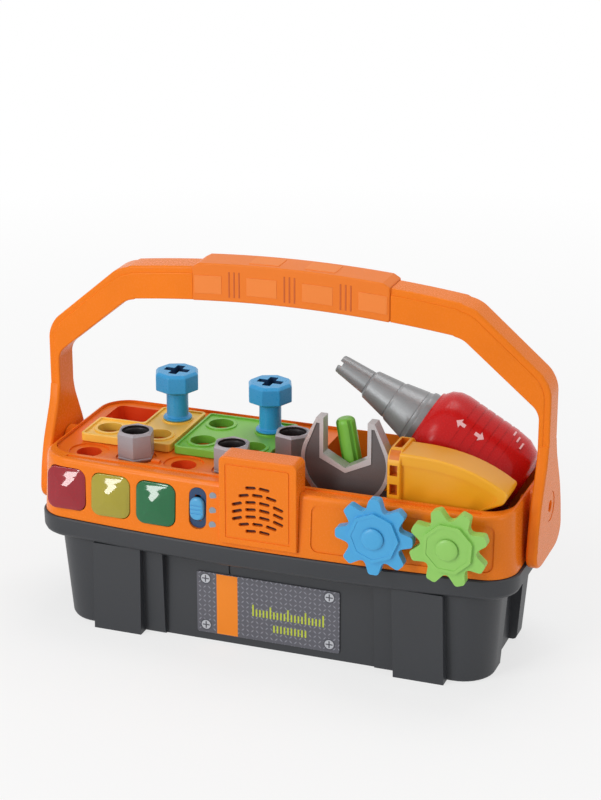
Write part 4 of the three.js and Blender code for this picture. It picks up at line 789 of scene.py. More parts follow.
tub = loft([(0, tub_plan(0, foot_round)), (foot_step, tub_plan(0, foot_step)),
            (foot_round, tub_plan(foot_round)), (tub_top, tub_plan(tub_top))])
sunk = [block((-panel_half, near, -over), (panel_half, far, tub_top))
        for near, far in ((-tub_depth - over, -panel_depth), (panel_depth, tub_depth + over))]
sunk += [block((near, -end_panel_half, -over), (far, end_panel_half, tub_top))
         for near, far in ((-tub_half - over, -end_panel_x), (end_panel_x, tub_half + over))]
tub = join(cut(tub, *sunk), *[pillar(x, y) for x in SIDES for y in SIDES])
flange = loft([(tub_top + rise, flange_plan(inset)) for rise, inset in flange_under]
              + [(flange_top - below, flange_plan(inset)) for below, inset in flange_over])
tub = soften(join(tub, flange), 0.7, 3)

# %% Hollow the tub
cavity_half, cavity_depth, cavity_corner, tub_floor = end_panel_x - 2.6, panel_depth - 2.6, 16.0, 3.0
divider_right = span("project_deck")[1].x
divider_left = divider_right - 2.5
notch_left, notch_wide, notch_tall, notch_deep = -28.0, 1.4, 12.0, 1.0
post_radius, post_inset, post_y = 3, 9, 29
screw_hole, screw_seat, seat_rise, hole_rise, cell_lip = 1.9, 3.2, 2.5, 2, 2
screw_pocket_wide, screw_pocket_deep, screw_pocket_corner = 16.6, 8.6, 2.7
tub = cut(tub, pull(box_plan(cavity_half, cavity_depth, cavity_depth, cavity_corner), tub_floor, tray_top))
board_low, board_high = span("main_board")
posts = [rod(post_radius, tub_floor - gap, board_low.z - gap, "z", (x, y, 0), 20)
         for x in (board_low.x + post_inset, board_high.x - post_inset) for y in (-post_y, post_y)]
tub = join(tub, block((divider_left, -cavity_depth - gap, tub_floor - gap),
                      (divider_right, cavity_depth + gap, flange_top)), *posts)
door_low, door_high = span("battery_door")
cell_low, cell_high = span("battery_box")
door_half_y, battery_x, screw_y = -door_low.y, centre("battery_door").x, centre("battery_door_screw").y
rebate_top = door_high.z + gap
floor_cuts = [
    block((door_low.x - gap, -door_half_y - gap, -over), (door_high.x + gap, door_half_y + gap, rebate_top)),
    block((cell_low.x + cell_lip, cell_low.y + cell_lip, -over),
          (cell_high.x - cell_lip, cell_high.y - cell_lip, tub_floor + over)),
    plate(battery_x, screw_y, screw_pocket_wide, screw_pocket_deep, -over, rebate_top, "z",
          screw_pocket_corner, 5),
    rod(screw_hole, -over, tub_floor + over, "z", (battery_x, screw_y, 0), 16),
    block((notch_left, -panel_depth - over, tub_top - gap - notch_tall),
          (notch_left + notch_wide, -panel_depth + notch_deep, tub_top - gap))]
CASE_SCREWS = ["case_screw_" + place for place in ("front_left", "front_right", "back_left", "back_right")]
for node in CASE_SCREWS:
    place = (centre(node).x, centre(node).y, 0)
    floor_cuts += [rod(screw_seat, tub_top - over, tub_top + seat_rise, "z", place, 20),
                   rod(screw_hole, tub_top + hole_rise, tray_top, "z", place, 16)]
dress(cut(tub, *floor_cuts), "tub", "tool_box", charcoal, ["base_tub"])

# %% [markdown]
# ## The project deck
# The deck is a plate that drops into the left half of the tray. Four seats along its front hold the toy
# nuts, each over a shallow cup, more holes lie under the play plates, and a deep pocket sits behind them.
# All of it is one plate cut by short rods, then softened, so that every hole gets the same round edge.

# %% Model the deck
deck_low, deck_high = span("project_deck")
deck_top, deck_foot = 115.0, 112.3
hole_radius, seat_radius, seat_deep = 8.3, 13.2, 1.0
cup_radius, cup_deep, cup_wall = 9.8, 9.0, 1.4
row_y, row_x = -34.0, [-131.5 + 33.5 * step for step in range(4)]
plate_y, plate_pitch_x, plate_pitch_y = 11.0, 35.0, 32.0
yellow_x, green_x = centre("yellow_plate").x, centre("green_plate").x
pocket_left, pocket_right, pocket_front, pocket_back, pocket_deep = -149.0, -113.0, 13.0, 51.0, 11.0
pocket_wall, bowl_inset = 1.6, 3.6
tab_x, tab_front, tab_wide, tab_deep = -82.0, -40.0, 6.0, 3.4


def plate_holes(middle_x):
    """The four hole centres of a play plate."""
    return [(middle_x + i * plate_pitch_x / 2, plate_y + j * plate_pitch_y / 2) for i in SIDES for j in SIDES]


def inner_solid(inset, low, high):
    """The tray's opening, drawn in by an inset and filled between two heights."""
    return pull(box_plan(opening_half - inset, opening_front - inset, opening_back - inset,
                         opening_corner - inset), low, high)


def rods_at(places, radius, low, high, steps=40):
    return [rod(radius, low, high, "z", (x, y, 0), steps) for x, y in places]


green_holes = plate_holes(green_x)
yellow_holes = [(x, y) for x, y in plate_holes(yellow_x) if x > yellow_x or y < plate_y]
row_holes = [(x, row_y) for x in row_x]
deck = common(inner_solid(gap, deck_foot, deck_top),
              block((-tray_half, -tray_front, 0), (divider_right, tray_back, tray_top + over)))
rest_wall = common(inner_solid(gap, deck_low.z, deck_top),
                   block((divider_left, -tray_front, 0), (divider_right, tray_back, tray_top)))
bowl = common(block((pocket_left, pocket_front, deck_top - pocket_deep - pocket_wall),
                    (pocket_right, pocket_back, deck_top - gap)), inner_solid(bowl_inset, 0, tray_top))
cups = rods_at(row_holes, cup_radius, deck_top - cup_deep - cup_wall, deck_top - seat_deep - gap)
deck = join(deck, rest_wall, bowl, *cups)
pocket = common(block((pocket_left + pocket_wall, pocket_front + pocket_wall, deck_top - pocket_deep),
                      (pocket_right - pocket_wall, pocket_back - pocket_wall, tray_top)),
                inner_solid(bowl_inset + pocket_wall, 0, tray_top + over))
soften(pocket, 2.5, 4, where=lambda edge: upright(edge) or middle_of(edge).z < deck_top - over)
deck = cut(deck, pocket, *rods_at(row_holes, seat_radius, deck_top - seat_deep, tray_top, 48),
           *rods_at(yellow_holes + green_holes, hole_radius, deck_foot - over, tray_top),
           *rods_at(row_holes, hole_radius, deck_top - cup_deep, tray_top))
tab = soften(block((tab_x - tab_wide / 2, tab_front, deck_foot),
                   (tab_x + tab_wide / 2, tab_front + tab_deep, deck_high.z)), 0.6, 2)


# Faces in the pocket and in the cups take the darker red-orange, as painted shade.
def in_shaded_pocket_or_cup(face, spot):
    in_pocket = pocket_left < spot.x < pocket_right and pocket_front < spot.y < pocket_back
    in_cup = spot.y < row_y + seat_radius and spot.z < deck_top - seat_deep - gap
    return (in_pocket and spot.z < deck_top - 0.5) or in_cup


dress(paint(gather(soften(deck, 0.45, 2), tab), in_shaded_pocket_or_cup), "deck", "tool_box",
      [orange_dark, pocket_shade_orange], ["project_deck"])

# %% [markdown]
# ## The speaker cover
# A square box with a sunk frame line hooks over the front. Its grille is rows of short slots inside a
# circle, and each row bends downwards at its ends like a rib cage. The slots are small solids that are cut
# out in one go.

# %% Model the cover
cover_corner, cover_foot_corner, cover_wall = 4.0, 0.8, 2.2
frame_inset, frame_wide, frame_deep = 4.2, 1.1, 0.5
grille_x, grille_z, grille_radius = (cover_low.x + cover_high.x) / 2, 104.6, 19.5
dash_long, dash_high, dash_space, row_space, row_bend = 7.2, 2.3, 2.0, 4.9, 0.012
cover_face = cover_low.y


def cover_slab(inset, front, back):
    """The cover's outline seen from the front, with round top corners and square feet."""
    left, right = cover_low.x + inset, cover_high.x - inset
    corners = [(left, cover_low.z + inset), (right, cover_low.z + inset),
               (right, cover_high.z - inset), (left, cover_high.z - inset)]
    corner = max(cover_corner - inset / 2, 0.5)
    return slab(corners, front, back, "y", [cover_foot_corner, cover_foot_corner, corner, corner])


cover = soften(cover_slab(0, cover_face, cover_high.y), 1.5, 4,
               where=lambda edge: middle_of(edge).y < cover_face + 0.1)
frame_line = cut(cover_slab(frame_inset, cover_face - over, cover_face + frame_deep),
                 cover_slab(frame_inset + frame_wide, cover_face - 2 * over, cover_face + over))
inside = block((cover_low.x + cover_wall, cover_face + cover_wall, cover_low.z - over),
               (cover_high.x - cover_wall, cover_high.y - cover_wall, cover_high.z - cover_wall))
grille = []
rows = int(grille_radius / row_space)
for row in range(-rows, rows + 1):
    height = row * row_space
    count = int(2 * math.sqrt(grille_radius ** 2 - height ** 2) // (dash_long + dash_space))
    for step in range(count):
        across = (step - (count - 1) / 2) * (dash_long + dash_space)
        dash = plate(0, 0, dash_long, dash_high, cover_face - over, cover_face + cover_wall + 1, "y",
                     dash_high * 0.45, 4)
        rotated(dash, math.degrees(math.atan(2 * row_bend * across)), "Y")
        grille.append(moved(dash, grille_x + across, 0, grille_z + height - row_bend * across ** 2))
cover = cut(cover, inside, frame_line, gather(*grille))
dress(soften(cover, 0.35, 2, 50), "cover", "tool_box", orange, ["speaker_cover"])

# %% [markdown]
# ## Lights and switch
# The three lights are push buttons of clear plastic with a domed front. Each is a loft: a square outline
# with round corners is drawn in along a quarter circle and then on to the middle, and a formula lifts the
# points of the middle into a smooth dome that leans up a little. The same outlines, drawn in by the wall,
# make the hollow behind it.

# %% Model the light buttons
button_proud, button_dome, button_wall, button_back = 0.6, 3.6, 2.0, 4.9
edge_steps, crown_steps, edge_reach, edge_share = 3, 18, 0.8, 0.12
crown_end, crown_lift = 1.0, gap / 10
lens_lean = math.tan(math.radians(-4.4))
tab_reach, tab_thick = 1.5, 0.8


def to_front(bm, x, face, z):
    """Turns a shape that was made facing up to the front and puts it on the tray's face."""
    return moved(facing(bm, "y"), x, face, z)


def pillow(back, inset=0.0):
    """A lens that faces up, from a height at its back to the crown of its dome."""
    def plan(drawn_in):
        drawn_in += inset
        return outline(rectangle(0, 0, button_wide - 2 * drawn_in, button_tall - 2 * drawn_in),
                       max(button_corner - drawn_in, 0.45), 6)
    proud, rise = button_proud - inset, edge_share * button_dome
    foot = proud + rise
    levels = [(back, plan(0)), (proud, plan(0))]
    for step in range(1, edge_steps + 1):
        turn = math.radians(90 * step / edge_steps)
        levels.append((proud + rise * math.sin(turn), plan(edge_reach * (1 - math.cos(turn)))))
    far = button_wide / 2 - inset - edge_reach - crown_end
    for step in range(1, crown_steps + 1):
        levels.append((foot + crown_lift * step, plan(edge_reach + far * step / crown_steps)))
    bm = loft(levels)
    for vert in bm.verts:
        if vert.co.z > foot + crown_lift / 2:
            fall = (1 - (2 * vert.co.x / button_wide) ** 2) * (1 - (2 * vert.co.y / button_tall) ** 2)
            vert.co.z = foot + (1 - edge_share) * button_dome * fall
        if vert.co.z > back + gap:
            vert.co.z += lens_lean * vert.co.y
    return bm


for name, x, finish in zip(button_names, button_x, (lens_red, lens_yellow, lens_green)):
    tabs = [plate(0, side * button_tall / 2, button_wide / 2, 2 * tab_reach, -button_back,
                  tab_thick - button_back) for side in SIDES]
    lens = cut(join(pillow(-button_back), *tabs), pillow(-button_back - over, button_wall))
    lens = dress(to_front(lens, x, tray_face(x, button_z), button_z), name + "_light", name + "_button",
                 finish, ["light_button_" + name])
    # Even shading would flatten the dome, so the lens keeps its own normals.
    lens.modifiers.clear()

# %% Model the switch
knob_wide, knob_tall = knob_high.x - knob_low.x, knob_high.z - knob_low.z
recess_y = knob_face + slot_deep
knob_back, knob_front = 1.05, recess_y - knob_low.y
# The knob's round edge: how far below its front each outline lies, and its inset.
knob_edge = [(1.6, 0), (0.7, 0.35), (0.2, 0.95), (0, 1.6)]
ridge_pitch, ridge_deep, ridge_wide = 2.7, 0.55, 1.0
stem_wide, stem_tall, stem_high, shade_sheet_thick = 3.4, 6.8, 1.6, 0.6
mark_x, mark_spots, mark_radius, mark_proud, mark_thick = -33.0, (107.9, 98.1, 88.6), 2.4, 0.12, 1.0


def round_ended(wide, tall):
    """An outline with round ends that faces up."""
    return outline(rectangle(0, 0, wide, tall), wide / 2 - gap, 8)


knob = loft([(knob_back, round_ended(knob_wide, knob_tall))]
            + [(knob_front - below, round_ended(knob_wide - 2 * inset, knob_tall - 2 * inset))
               for below, inset in knob_edge])
ridges = [block((-knob_wide, step * ridge_pitch - ridge_wide / 2, knob_front - ridge_deep),
                (knob_wide, step * ridge_pitch + ridge_wide / 2, knob_front + over)) for step in (-1, 0, 1)]
stem = plate(0, 0, stem_wide, stem_tall, recess_y - knob_high.y, stem_high)
knob = soften(join(cut(knob, *ridges), stem), 0.25, 2, 40)
dress(to_front(knob, knob_x, recess_y, knob_z), "knob", "switch_knob", knob_blue, ["slide_knob"])
# A thin dark blue sheet in the recess round the knob is painted shade, standing for the shadow in the recess.
shade_sheet = cut(pull(round_ended(slot_wide - 2 * gap, slot_tall - 2 * gap), 0, shade_sheet_thick),
            plate(0, 0, slit_wide, slit_tall, -over, over))
dress(to_front(shade_sheet, knob_x, recess_y, knob_z), "switch_shade_sheet", "tool_box", blue_shade, ())
marks = [to_front(soften(rod(mark_radius, 0, mark_thick, steps=28), 0.06, 1), mark_x,
                  tray_face(mark_x, z) + mark_thick - mark_proud, z) for z in mark_spots]
dress(gather(*marks), "switch_marks", "tool_box", mark_grey, ())

# %% [markdown]
# ## The gears
# A tooth is a short list of corners, turned round the centre eight times. The outline is pulled to the
# gear's thickness, an eight sided plateau with a shallow sunk field is laid on top, and one soft bevel runs
# over both.

# %% Model the gears
teeth, tip_radius, root_radius, tip_half, root_half = 8, 25.0, 17.6, 3.1, 5.3
tooth_rounds = [0.9, 1.5, 1.5, 0.9, 0.6]
face_radius, face_tall, gear_thick, gear_bore = 16.5, 2.1, 6.4, 4.3
dish_radius, dish_deep, green_phase = 14.2, 0.4, 19.5
# The axle's head: radius and height over the head's foot.
axle_radius = 4.0
axle_head = [(7.0, 0), (7.0, 0.7), (6.5, 1.25), (5.4, 1.6), (3.0, 1.76), (0, 1.8)]


def polar(radius, degrees, aside=0.0):
    """A place at a radius and an angle, shifted sideways."""
    turn = math.radians(degrees)
    return (radius * math.cos(turn) - aside * math.sin(turn),
            radius * math.sin(turn) + aside * math.cos(turn))


def gear(phase):
    """A gear that faces up, with its first tooth at an angle."""
    angles = [phase + tooth * 360 / teeth for tooth in range(teeth)]
    corners = []
    for angle in angles:
        corners += [polar(root_radius, angle, -root_half), polar(tip_radius, angle, -tip_half),
                    polar(tip_radius, angle, tip_half), polar(root_radius, angle, root_half),
                    polar(root_radius, angle + 180 / teeth)]

    def eight_sided(radius, low, high):
        return slab([polar(radius, angle) for angle in angles], low, high, rounds=0.8, segments=3)

    wheel = join(slab(corners, 0, gear_thick, rounds=tooth_rounds * teeth, segments=4),
                 eight_sided(face_radius, gear_thick / 2, gear_thick + face_tall))
    dish = eight_sided(dish_radius, gear_thick + face_tall - dish_deep, gear_thick + over)
    return cut(soften(cut(wheel, dish), 0.45, 3, 30), rod(gear_bore, -over, gear_thick + over, steps=32))


for colour, side, x, phase, finish in (("blue", "left", gear_centres[0], 0, gear_blue),
                                       ("green", "right", gear_centres[1], green_phase, gear_green)):
    name, slot = colour + "_gear", "light_" + colour + "_plastic"
    dress(to_front(gear(phase), x, gear_back, gear_z), name, name, finish, ["gear_" + colour])
    axle = "gear_axle_" + side
    back, head = gear_back - span(axle)[1].y, gear_thick + face_tall + gap
    pin = turned([(0, back), (axle_radius, back), (axle_radius, head)]
                 + [(radius, head + height) for radius, height in axle_head])
    dress(to_front(pin, x, gear_back, gear_z), name + "_axle", "tool_box", finish, [axle])

# %% [markdown]
# ## The carry handle
# The handle is bent from two bands that run side by side: a strap on the outside, and inside it a web that
# is a little wider. The step between them is the bright line that follows the whole arch. The bar rises a
# little to its middle, so the level edges of the outlines are split and lifted along a curve.

# %% Model the handle's frame
outer_half = span("handle_frame")[1].x
arm_thick, handle_half, strap_half = 7.3, 10.5, 9.8
arm_inner, arm_foot = outer_half - arm_thick, pivot_z + 35.0
bend_low, bend_high, bend_x, arch_rise = 190.0, 235.0, outer_half - 52.5, 8.0
web_low, web_high, web_x, web_rise = 171.3, 213.9, outer_half - 58.4, 7.1
grip_half, grip_raise, grip_proud, grip_wall = 66.0, 3.0, 1.1, 1.7
paddle_foot, paddle_shoulder, paddle_half, paddle_corner = pivot_z - 34.6, pivot_z + 44.0, 31.0, 16.0
flare_shares = [(0, 1), (0.12, 0.74), (0.42, 0.44), (0.7, 0.16), (0.9, -0.18), (1, -0.5)]
paddle_rounds = [paddle_corner, 2.0, 4.0, 5.0, 5.0, 4.0, 0]
pin_seat, pin_bore, head_deep, pin_head = 9.8, 5.3, 2.7, 9.7
bar_steps, bar_step = 28, 5
# Four lines that follow the handle from its arms to its bar: half length, low bend, high bend and rise.
outer_line = (outer_half, bend_low, bend_x, bend_high, arch_rise)
strap_line = (arm_inner, bend_low - 2.7, bend_x - 2.7, bend_high - arm_thick, arch_rise)
middle_line = (outer_half - 4, bend_low - 1.5, bend_x - 1.5, bend_high - 4, arch_rise)
web_line = (arm_inner, web_low, web_x, web_high, web_rise)


def band_between(outer, inner):
    """A band that runs over the box between two of these lines."""
    def corners_of(line):
        return [(line[0], arm_foot), (line[0], line[1]), (line[2], line[3]),
                (-line[2], line[3]), (-line[0], line[1]), (-line[0], arm_foot)]
    bm = outline(corners_of(outer) + corners_of(inner)[::-1], [0, 9, 7, 7, 9, 0, 0, 5, 5, 5, 5, 0], 6)
    for line in (outer, inner):
        bent(bm, line[3], bar_steps, lambda x: arch(x, line[2], line[4]))
    return bm


def bar_band(left, right, lift_low, lift_high):
    """A stretch of the bar: its edges arch like the bar's own, raised by a lift."""
    bm = outline([(left, 0), (right, 0), (right, 1), (left, 1)])
    level = [edge for edge in bm.edges if abs(edge.verts[0].co.y - edge.verts[1].co.y) < same_height]
    bmesh.ops.subdivide_edges(bm, edges=level, cuts=max(2, int((right - left) / bar_step)))
    for vert in bm.verts:
        if vert.co.y < 0.5:
            vert.co.y = web_high + lift_low + arch(vert.co.x, web_x, web_rise)
        else:
            vert.co.y = bend_high + lift_high + arch(vert.co.x, bend_x, arch_rise)
    return bm


strap = soften(pull(band_between(outer_line, strap_line), -strap_half, strap_half, "y"), 1.5, 4)
web = soften(pull(band_between(middle_line, web_line), -handle_half, handle_half, "y"), 0.9, 3)
zone = block((-grip_half - gap, -2 * handle_half, web_high - web_rise),
             (grip_half + gap, 2 * handle_half, bend_high + 2 * arch_rise))
core_half = handle_half + grip_proud - grip_wall - gap
core = pull(bar_band(-grip_half - 2 * gap, grip_half + 2 * gap, grip_wall + gap, -gap), -core_half, core_half,
            "y")
flare = [(handle_half + (paddle_half - handle_half) * out, pivot_z + (paddle_shoulder - pivot_z) * up)
         for out, up in flare_shares]
right_side = [(paddle_half, paddle_foot)] + flare[::-1]
paddle_ring = right_side + [(-y, z) for y, z in reversed(right_side)]
paddles = [soften(slab(paddle_ring, low, high, "x", paddle_rounds + paddle_rounds[::-1], 6), 1.9, 4, 40)
           for low, high in ((arm_inner, outer_half), (-outer_half, -arm_inner))]
bar = join(cut(join(strap, web), zone), core, *paddles)
bar = cut(bar, *on_both_ends(pin_seat, outer_half - head_deep, outer_half + over, 64),
          *on_both_ends(pin_bore, outer_half - 3 * over, outer_half + over, 64))
dress(bar, "handle", "carry_handle", orange_handle, ["handle_frame"])

# %% [markdown]
# The grip is a sleeve over the bar with a ramp at each end. Shallow pads and thin ribs stand on its sides.
# They are cut from the same arch as the sleeve, so they follow it.

# %% Model the grip
pad_count, pad_pitch, pad_wide, pad_proud = 4, 37.3, 20.5, 0.4
pad_low, pad_high, pad_top_half, pad_end = 5.0, -5.0, 7.5, 1.5
rib_count, rib_pitch, rib_wide, rib_proud, rib_low, rib_high = 3, 3.4, 1.1, 0.3, 3.0, -2.0
trim_deep, ramp_long, end_x = 1, 8.0, grip_half + over
sleeve_half = handle_half + grip_proud
bar_top = bend_high + arch(grip_half, bend_x, arch_rise)
ramp_high = bar_top + 2 * grip_raise + arch_rise
ramp = [(end_x, bar_top), (grip_half, bar_top + grip_raise / 4),
        (grip_half - ramp_long, bar_top + grip_raise + 2.3), (grip_half - ramp_long, ramp_high),
        (end_x, ramp_high)]
sleeve = pull(bar_band(-grip_half, grip_half, 0, grip_raise), -sleeve_half, sleeve_half, "y")
inner = pull(bar_band(-grip_half - over, grip_half + over, grip_wall, 0), -sleeve_half + grip_wall,
             sleeve_half - grip_wall, "y")
sleeve = cut(sleeve, *[slab([(side * x, z) for x, z in ramp][::side], -2 * sleeve_half, 2 * sleeve_half, "y")
                       for side in SIDES])
sleeve = cut(soften(sleeve, 1.0, 3), inner)


def trim(left, right, lifts, depths, finish, radius=0.4):
    """A raised piece on the grip that follows its arch and has a finish of its own."""
    shape = pull(bar_band(left, right, *lifts), *depths, "y")
    return with_finish(soften(shape, radius, 2, 60), finish)


def both_faces(proud):
    """The depths of a trim that stands proud of the front, and of its twin at the back."""
    return ((-sleeve_half - proud, trim_deep - sleeve_half), (sleeve_half - trim_deep, sleeve_half + proud))


trims = []
for pad in range(pad_count):
    middle = (pad - (pad_count - 1) / 2) * pad_pitch
    left = max(middle - pad_wide / 2, pad_end - grip_half)
    right = min(middle + pad_wide / 2, grip_half - pad_end)
    trims += [trim(left, right, (pad_low, pad_high), depths, 1) for depths in both_faces(pad_proud)]
    if pad in (1, 2):
        trims.append(trim(left, right, (2 * over, grip_raise + pad_proud), (-pad_top_half, pad_top_half), 1))
# The ribs take the darker orange, painted shade for the gaps between the pads.
for space in range(pad_count - 1):
    for rib in range(rib_count):
        middle = (space - (pad_count - 2) / 2) * pad_pitch + (rib - (rib_count - 1) / 2) * rib_pitch
        trims += [trim(middle - rib_wide / 2, middle + rib_wide / 2, (rib_low, rib_high), depths, 2, 0.3)
                  for depths in both_faces(rib_proud)]
dress(gather(sleeve, *trims), "grip", "carry_handle", [orange_grip, orange_pad, orange_gap_shade], ["handle_grip"])

# %% Model the pivot pins
pin_radius, pin_head_thick = 5, 2.1
# The head from its rim inwards: radius and depth under its face.
head_face = [(pin_head, 0.2), (pin_head - 0.2, 0), (4.1, 0), (3.7, 0.4), (3.6, 1.7), (0, 1.7)]
for name, side in (("right", 1), ("left", -1)):
    node = "pivot_pin_" + name
    inner_end, outer_end = sorted(side * corner.x for corner in span(node))
    under_head = outer_end - pin_head_thick
    pin = turned([(0, inner_end), (pin_radius, inner_end), (pin_radius, under_head), (pin_head, under_head)]
                 + [(radius, outer_end - deep) for radius, deep in head_face], "x", 56)
    if side < 0:
        rotated(pin, 180)
    dress(moved(pin, z=pivot_z), node + "_dressed", "tool_box", orange_handle, [node])

# %% [markdown]
# ## Play plates, screws and nuts
# These are the pieces that a child takes out and bolts together. A plate is an outline with a raised rim
# and a low ring round every hole. A toy screw is turned: its coarse thread is a zigzag in the profile.
# The head is turned in eight steps only, which makes the octagon, and gets its bevel before the cross is
# cut.

# %% Model the play plates
plate_foot, plate_thick, plate_skin, plate_rim = deck_top + gap, 5.7, 4.6, 1.8
ring_radius, ring_tall, plate_hole, plate_corner = 10.6, 0.9, 8.4, 3.0
plate_half = (span("green_plate")[1].x - span("green_plate")[0].x) / 2


def plate_plan(corners, inset):
    """A plate's outline drawn in by an inset, from its corners and which way is inwards at each."""
    return outline([(x + inset * in_x, y + inset * in_y) for x, y, in_x, in_y in corners],
                   max(plate_corner - inset, 0.5), 5)


def play_plate(corners, holes):
    """A plate with a rim, and a ring and a hole at each place."""
    skin, top = plate_foot + plate_skin, plate_foot + plate_thick
    board = soften(pull(plate_plan(corners, 0), plate_foot, top), 0.6, 3)
    well = pull(plate_plan(corners, plate_rim), skin, top + over)
    rings = [soften(ring, 0.4, 2) for ring in rods_at(holes, ring_radius, skin - 1, skin + ring_tall, 48)]
    bores = rods_at(holes, plate_hole, plate_foot - over, top + over, 48)
    return soften(cut(join(cut(board, well), *rings), *bores), 0.25, 2, 60)


left, right = yellow_x - plate_half, yellow_x + plate_half
front, back = plate_y - plate_half, plate_y + plate_half
yellow_corners = [(left, front, 1, 1), (right, front, -1, 1), (right, back, -1, -1), (yellow_x, back, 1, -1),
                  (yellow_x, plate_y, 1, -1), (left, plate_y, 1, -1)]
green_corners = [(x, y, -math.copysign(1, x - green_x), -math.copysign(1, y - plate_y))
                 for x, y in rectangle(green_x, plate_y, 2 * plate_half, 2 * plate_half)]
for name, corners, holes, finish in (("yellow", yellow_corners, yellow_holes, plate_yellow),
                                     ("green", green_corners, green_holes, plate_green)):
    dress(play_plate(corners, holes), name + "_play_plate", name + "_play_plate", finish, [name + "_plate"])

# %% Model the toy screws
shank, thread_deep, thread_pitch, thread_slope, thread_flat, below_seat = 7.3, 0.7, 5.0, 1.2, 0.35, 22.0
collar, collar_tall, neck_tall, taper = 9.6, 1.6, 18.0, 3.5
head_radius, head_tall, head_bevel = 15.2, 12.5, 1.8
cross_long, cross_wide, cross_deep = 17.0, 5.6, 5.0
head_foot, head_top = neck_tall + taper, neck_tall + taper + head_tall
print("screw head top at", head_top, "mm over its seat")


def toy_screw():
    """A toy screw about the Z axis, with its collar's foot at height zero."""
    core = shank - thread_deep
    profile = [(0, -below_seat), (core - 0.8, -below_seat), (core, -below_seat + 0.8)]
    height = -below_seat + thread_pitch / 2
    while height < -thread_pitch:
        profile += [(core, height - thread_slope), (shank, height - thread_flat),
                    (shank, height + thread_flat), (core, height + thread_slope)]
        height += thread_pitch
    profile += [(shank, -1.5), (shank, 0), (collar - 0.4, 0), (collar, 0.4), (collar, collar_tall - 0.5),
                (collar - 0.5, collar_tall), (shank + 0.6, collar_tall + 0.15), (shank, collar_tall + 0.8),
                (shank, neck_tall), (0, neck_tall)]
    head = turned([(0, neck_tall - gap), (shank, neck_tall - gap), (head_radius, head_foot),
                   (head_radius, head_top - head_bevel), (head_radius - head_bevel, head_top), (0, head_top)],
                  steps=8)
    cross_foot = head_top - cross_deep
    arms = [plate(0, 0, long, wide, cross_foot, head_top + over)
            for long, wide in ((cross_long, cross_wide), (cross_wide, cross_long))]
    cross = soften(join(*arms), 0.4, 2, where=upright)
    screw = cut(join(turned(profile, steps=40), soften(head, 0.5, 3, 30)), cross)

    # The cross recess takes the dark blue, as painted shade.
    def in_cross(face, spot):
        near, far = sorted((abs(spot.x), abs(spot.y)))
        return (near < cross_wide / 2 + gap and far < cross_long / 2 + gap
                and cross_foot - gap < spot.z < head_top - gap)

    return paint(soften(screw, 0.22, 2, 60), in_cross)


for side, x in (("left", yellow_x), ("right", green_x)):
    seat = span("toy_screw_" + side)[1].z - head_top
    dress(moved(toy_screw(), x + plate_pitch_x / 2, plate_y + plate_pitch_y / 2, seat), side + "_toy_screw",
          side + "_screw", [screw_blue, blue_shade], ["toy_screw_" + side])

# %% Model the toy nuts
nut_radius, nut_tall, nut_bevel, nut_bore, nut_turn = 12.5, 20.0, 1.6, 8.9, 45.0
groove_low, groove_high, groove_in = 2.6, 3.6, 0.45
bore_thread, bore_bevel, bore_slope, bore_flat = 0.5, 0.7, 1.1, 0.3


def toy_nut():
    """A six sided nut with a line round its foot and a coarse thread in its bore."""
    narrow, waist = nut_radius - nut_bevel, nut_radius - groove_in
    nut = turned([(0, 0), (narrow, 0), (nut_radius, nut_bevel), (nut_radius, groove_low), (waist, groove_low),
                  (waist, groove_high), (nut_radius, groove_high), (nut_radius, nut_tall - nut_bevel),
                  (narrow, nut_tall), (0, nut_tall)], steps=6)
    mouth, crest = nut_bore + bore_bevel, nut_bore + bore_thread
    profile = [(0, -over), (mouth, -over), (mouth, 0), (nut_bore, bore_bevel)]
    for turn in range(int(nut_tall / thread_pitch)):
        height = (turn + 0.5) * thread_pitch
        profile += [(nut_bore, height - bore_slope), (crest, height - bore_flat), (crest, height + bore_flat),
                    (nut_bore, height + bore_slope)]
    profile += [(nut_bore, nut_tall - bore_bevel), (mouth, nut_tall), (mouth, nut_tall + over),
                (0, nut_tall + over)]
    nut = cut(soften(nut, 0.35, 3, 30), turned(profile, steps=40))
    return paint(nut, lambda face, spot: math.hypot(spot.x, spot.y) < mouth + 0.02
                 and 0.5 < spot.z < nut_tall - 0.5)


for side in ("left", "middle", "right"):
    node = "toy_nut_" + side
    nut = moved(rotated(toy_nut(), nut_turn), centre(node).x, centre(node).y, span(node)[0].z)
    dress(nut, side + "_toy_nut", side + "_nut", [nut_silver, nut_dark], [node])

# %% [markdown]
# ## The hand tools
# The wrench is two outlines: its head, whose jaw is cut by a pointed mouth, and its shaft. Its faces are
# sunk inside a narrow raised rim, and the rim and the sides take a paler silver, a painted highlight
# along the raised edges. The screwdriver is turned and fluted. The hammer is a wedge behind an upright
# block with open pockets in its edge.

# %% Model the wrench
wrench_low, wrench_high = span("wrench")
wrench_radius, wrench_rise = 29.5, 28.5
wrench_x, wrench_y, wrench_z = centre("wrench").x, centre("wrench").y, wrench_high.z - wrench_rise
wrench_half = (wrench_high.y - wrench_low.y) / 2
jaw_half, throat_drop, ear_turn, shoulder_rise, tip_wide = 14.6, 3.4, 25.2, 8.03, 4.6
shaft_wide, shaft_thick, rim_wide, rim_deep = 18.0, 6.0, 2.5, 0.8
# The rim is broader at the ears' tips and at the throat: how many times its width it has there.
rim_at_tips, rim_at_throat = 1.5, 1.3


def wrench_blank(radius, rise, front, back):
    """The head without its mouth: a round disc with two ears that reach up to a level top."""
    ear_x, ear_z = polar(radius, ear_turn)
    tip = jaw_half + tip_wide
    ears = slab([(-ear_x, ear_z), (0, ear_z - over), (ear_x, ear_z), (tip, rise), (-tip, rise)],
                front, back, "y")
    return join(rod(radius, front, back, "y", steps=96), ears)


def wrench_mouth(wider, front, back):
    """The mouth between the jaws: straight sides and a pointed throat."""
    side, foot, top = jaw_half + wider, -throat_drop - wider * rim_at_throat, wrench_rise + 3 * over
    return slab([(-side, top), (-side, foot + shoulder_rise), (0, foot), (side, foot + shoulder_rise),
                 (side, top)], front, back, "y")


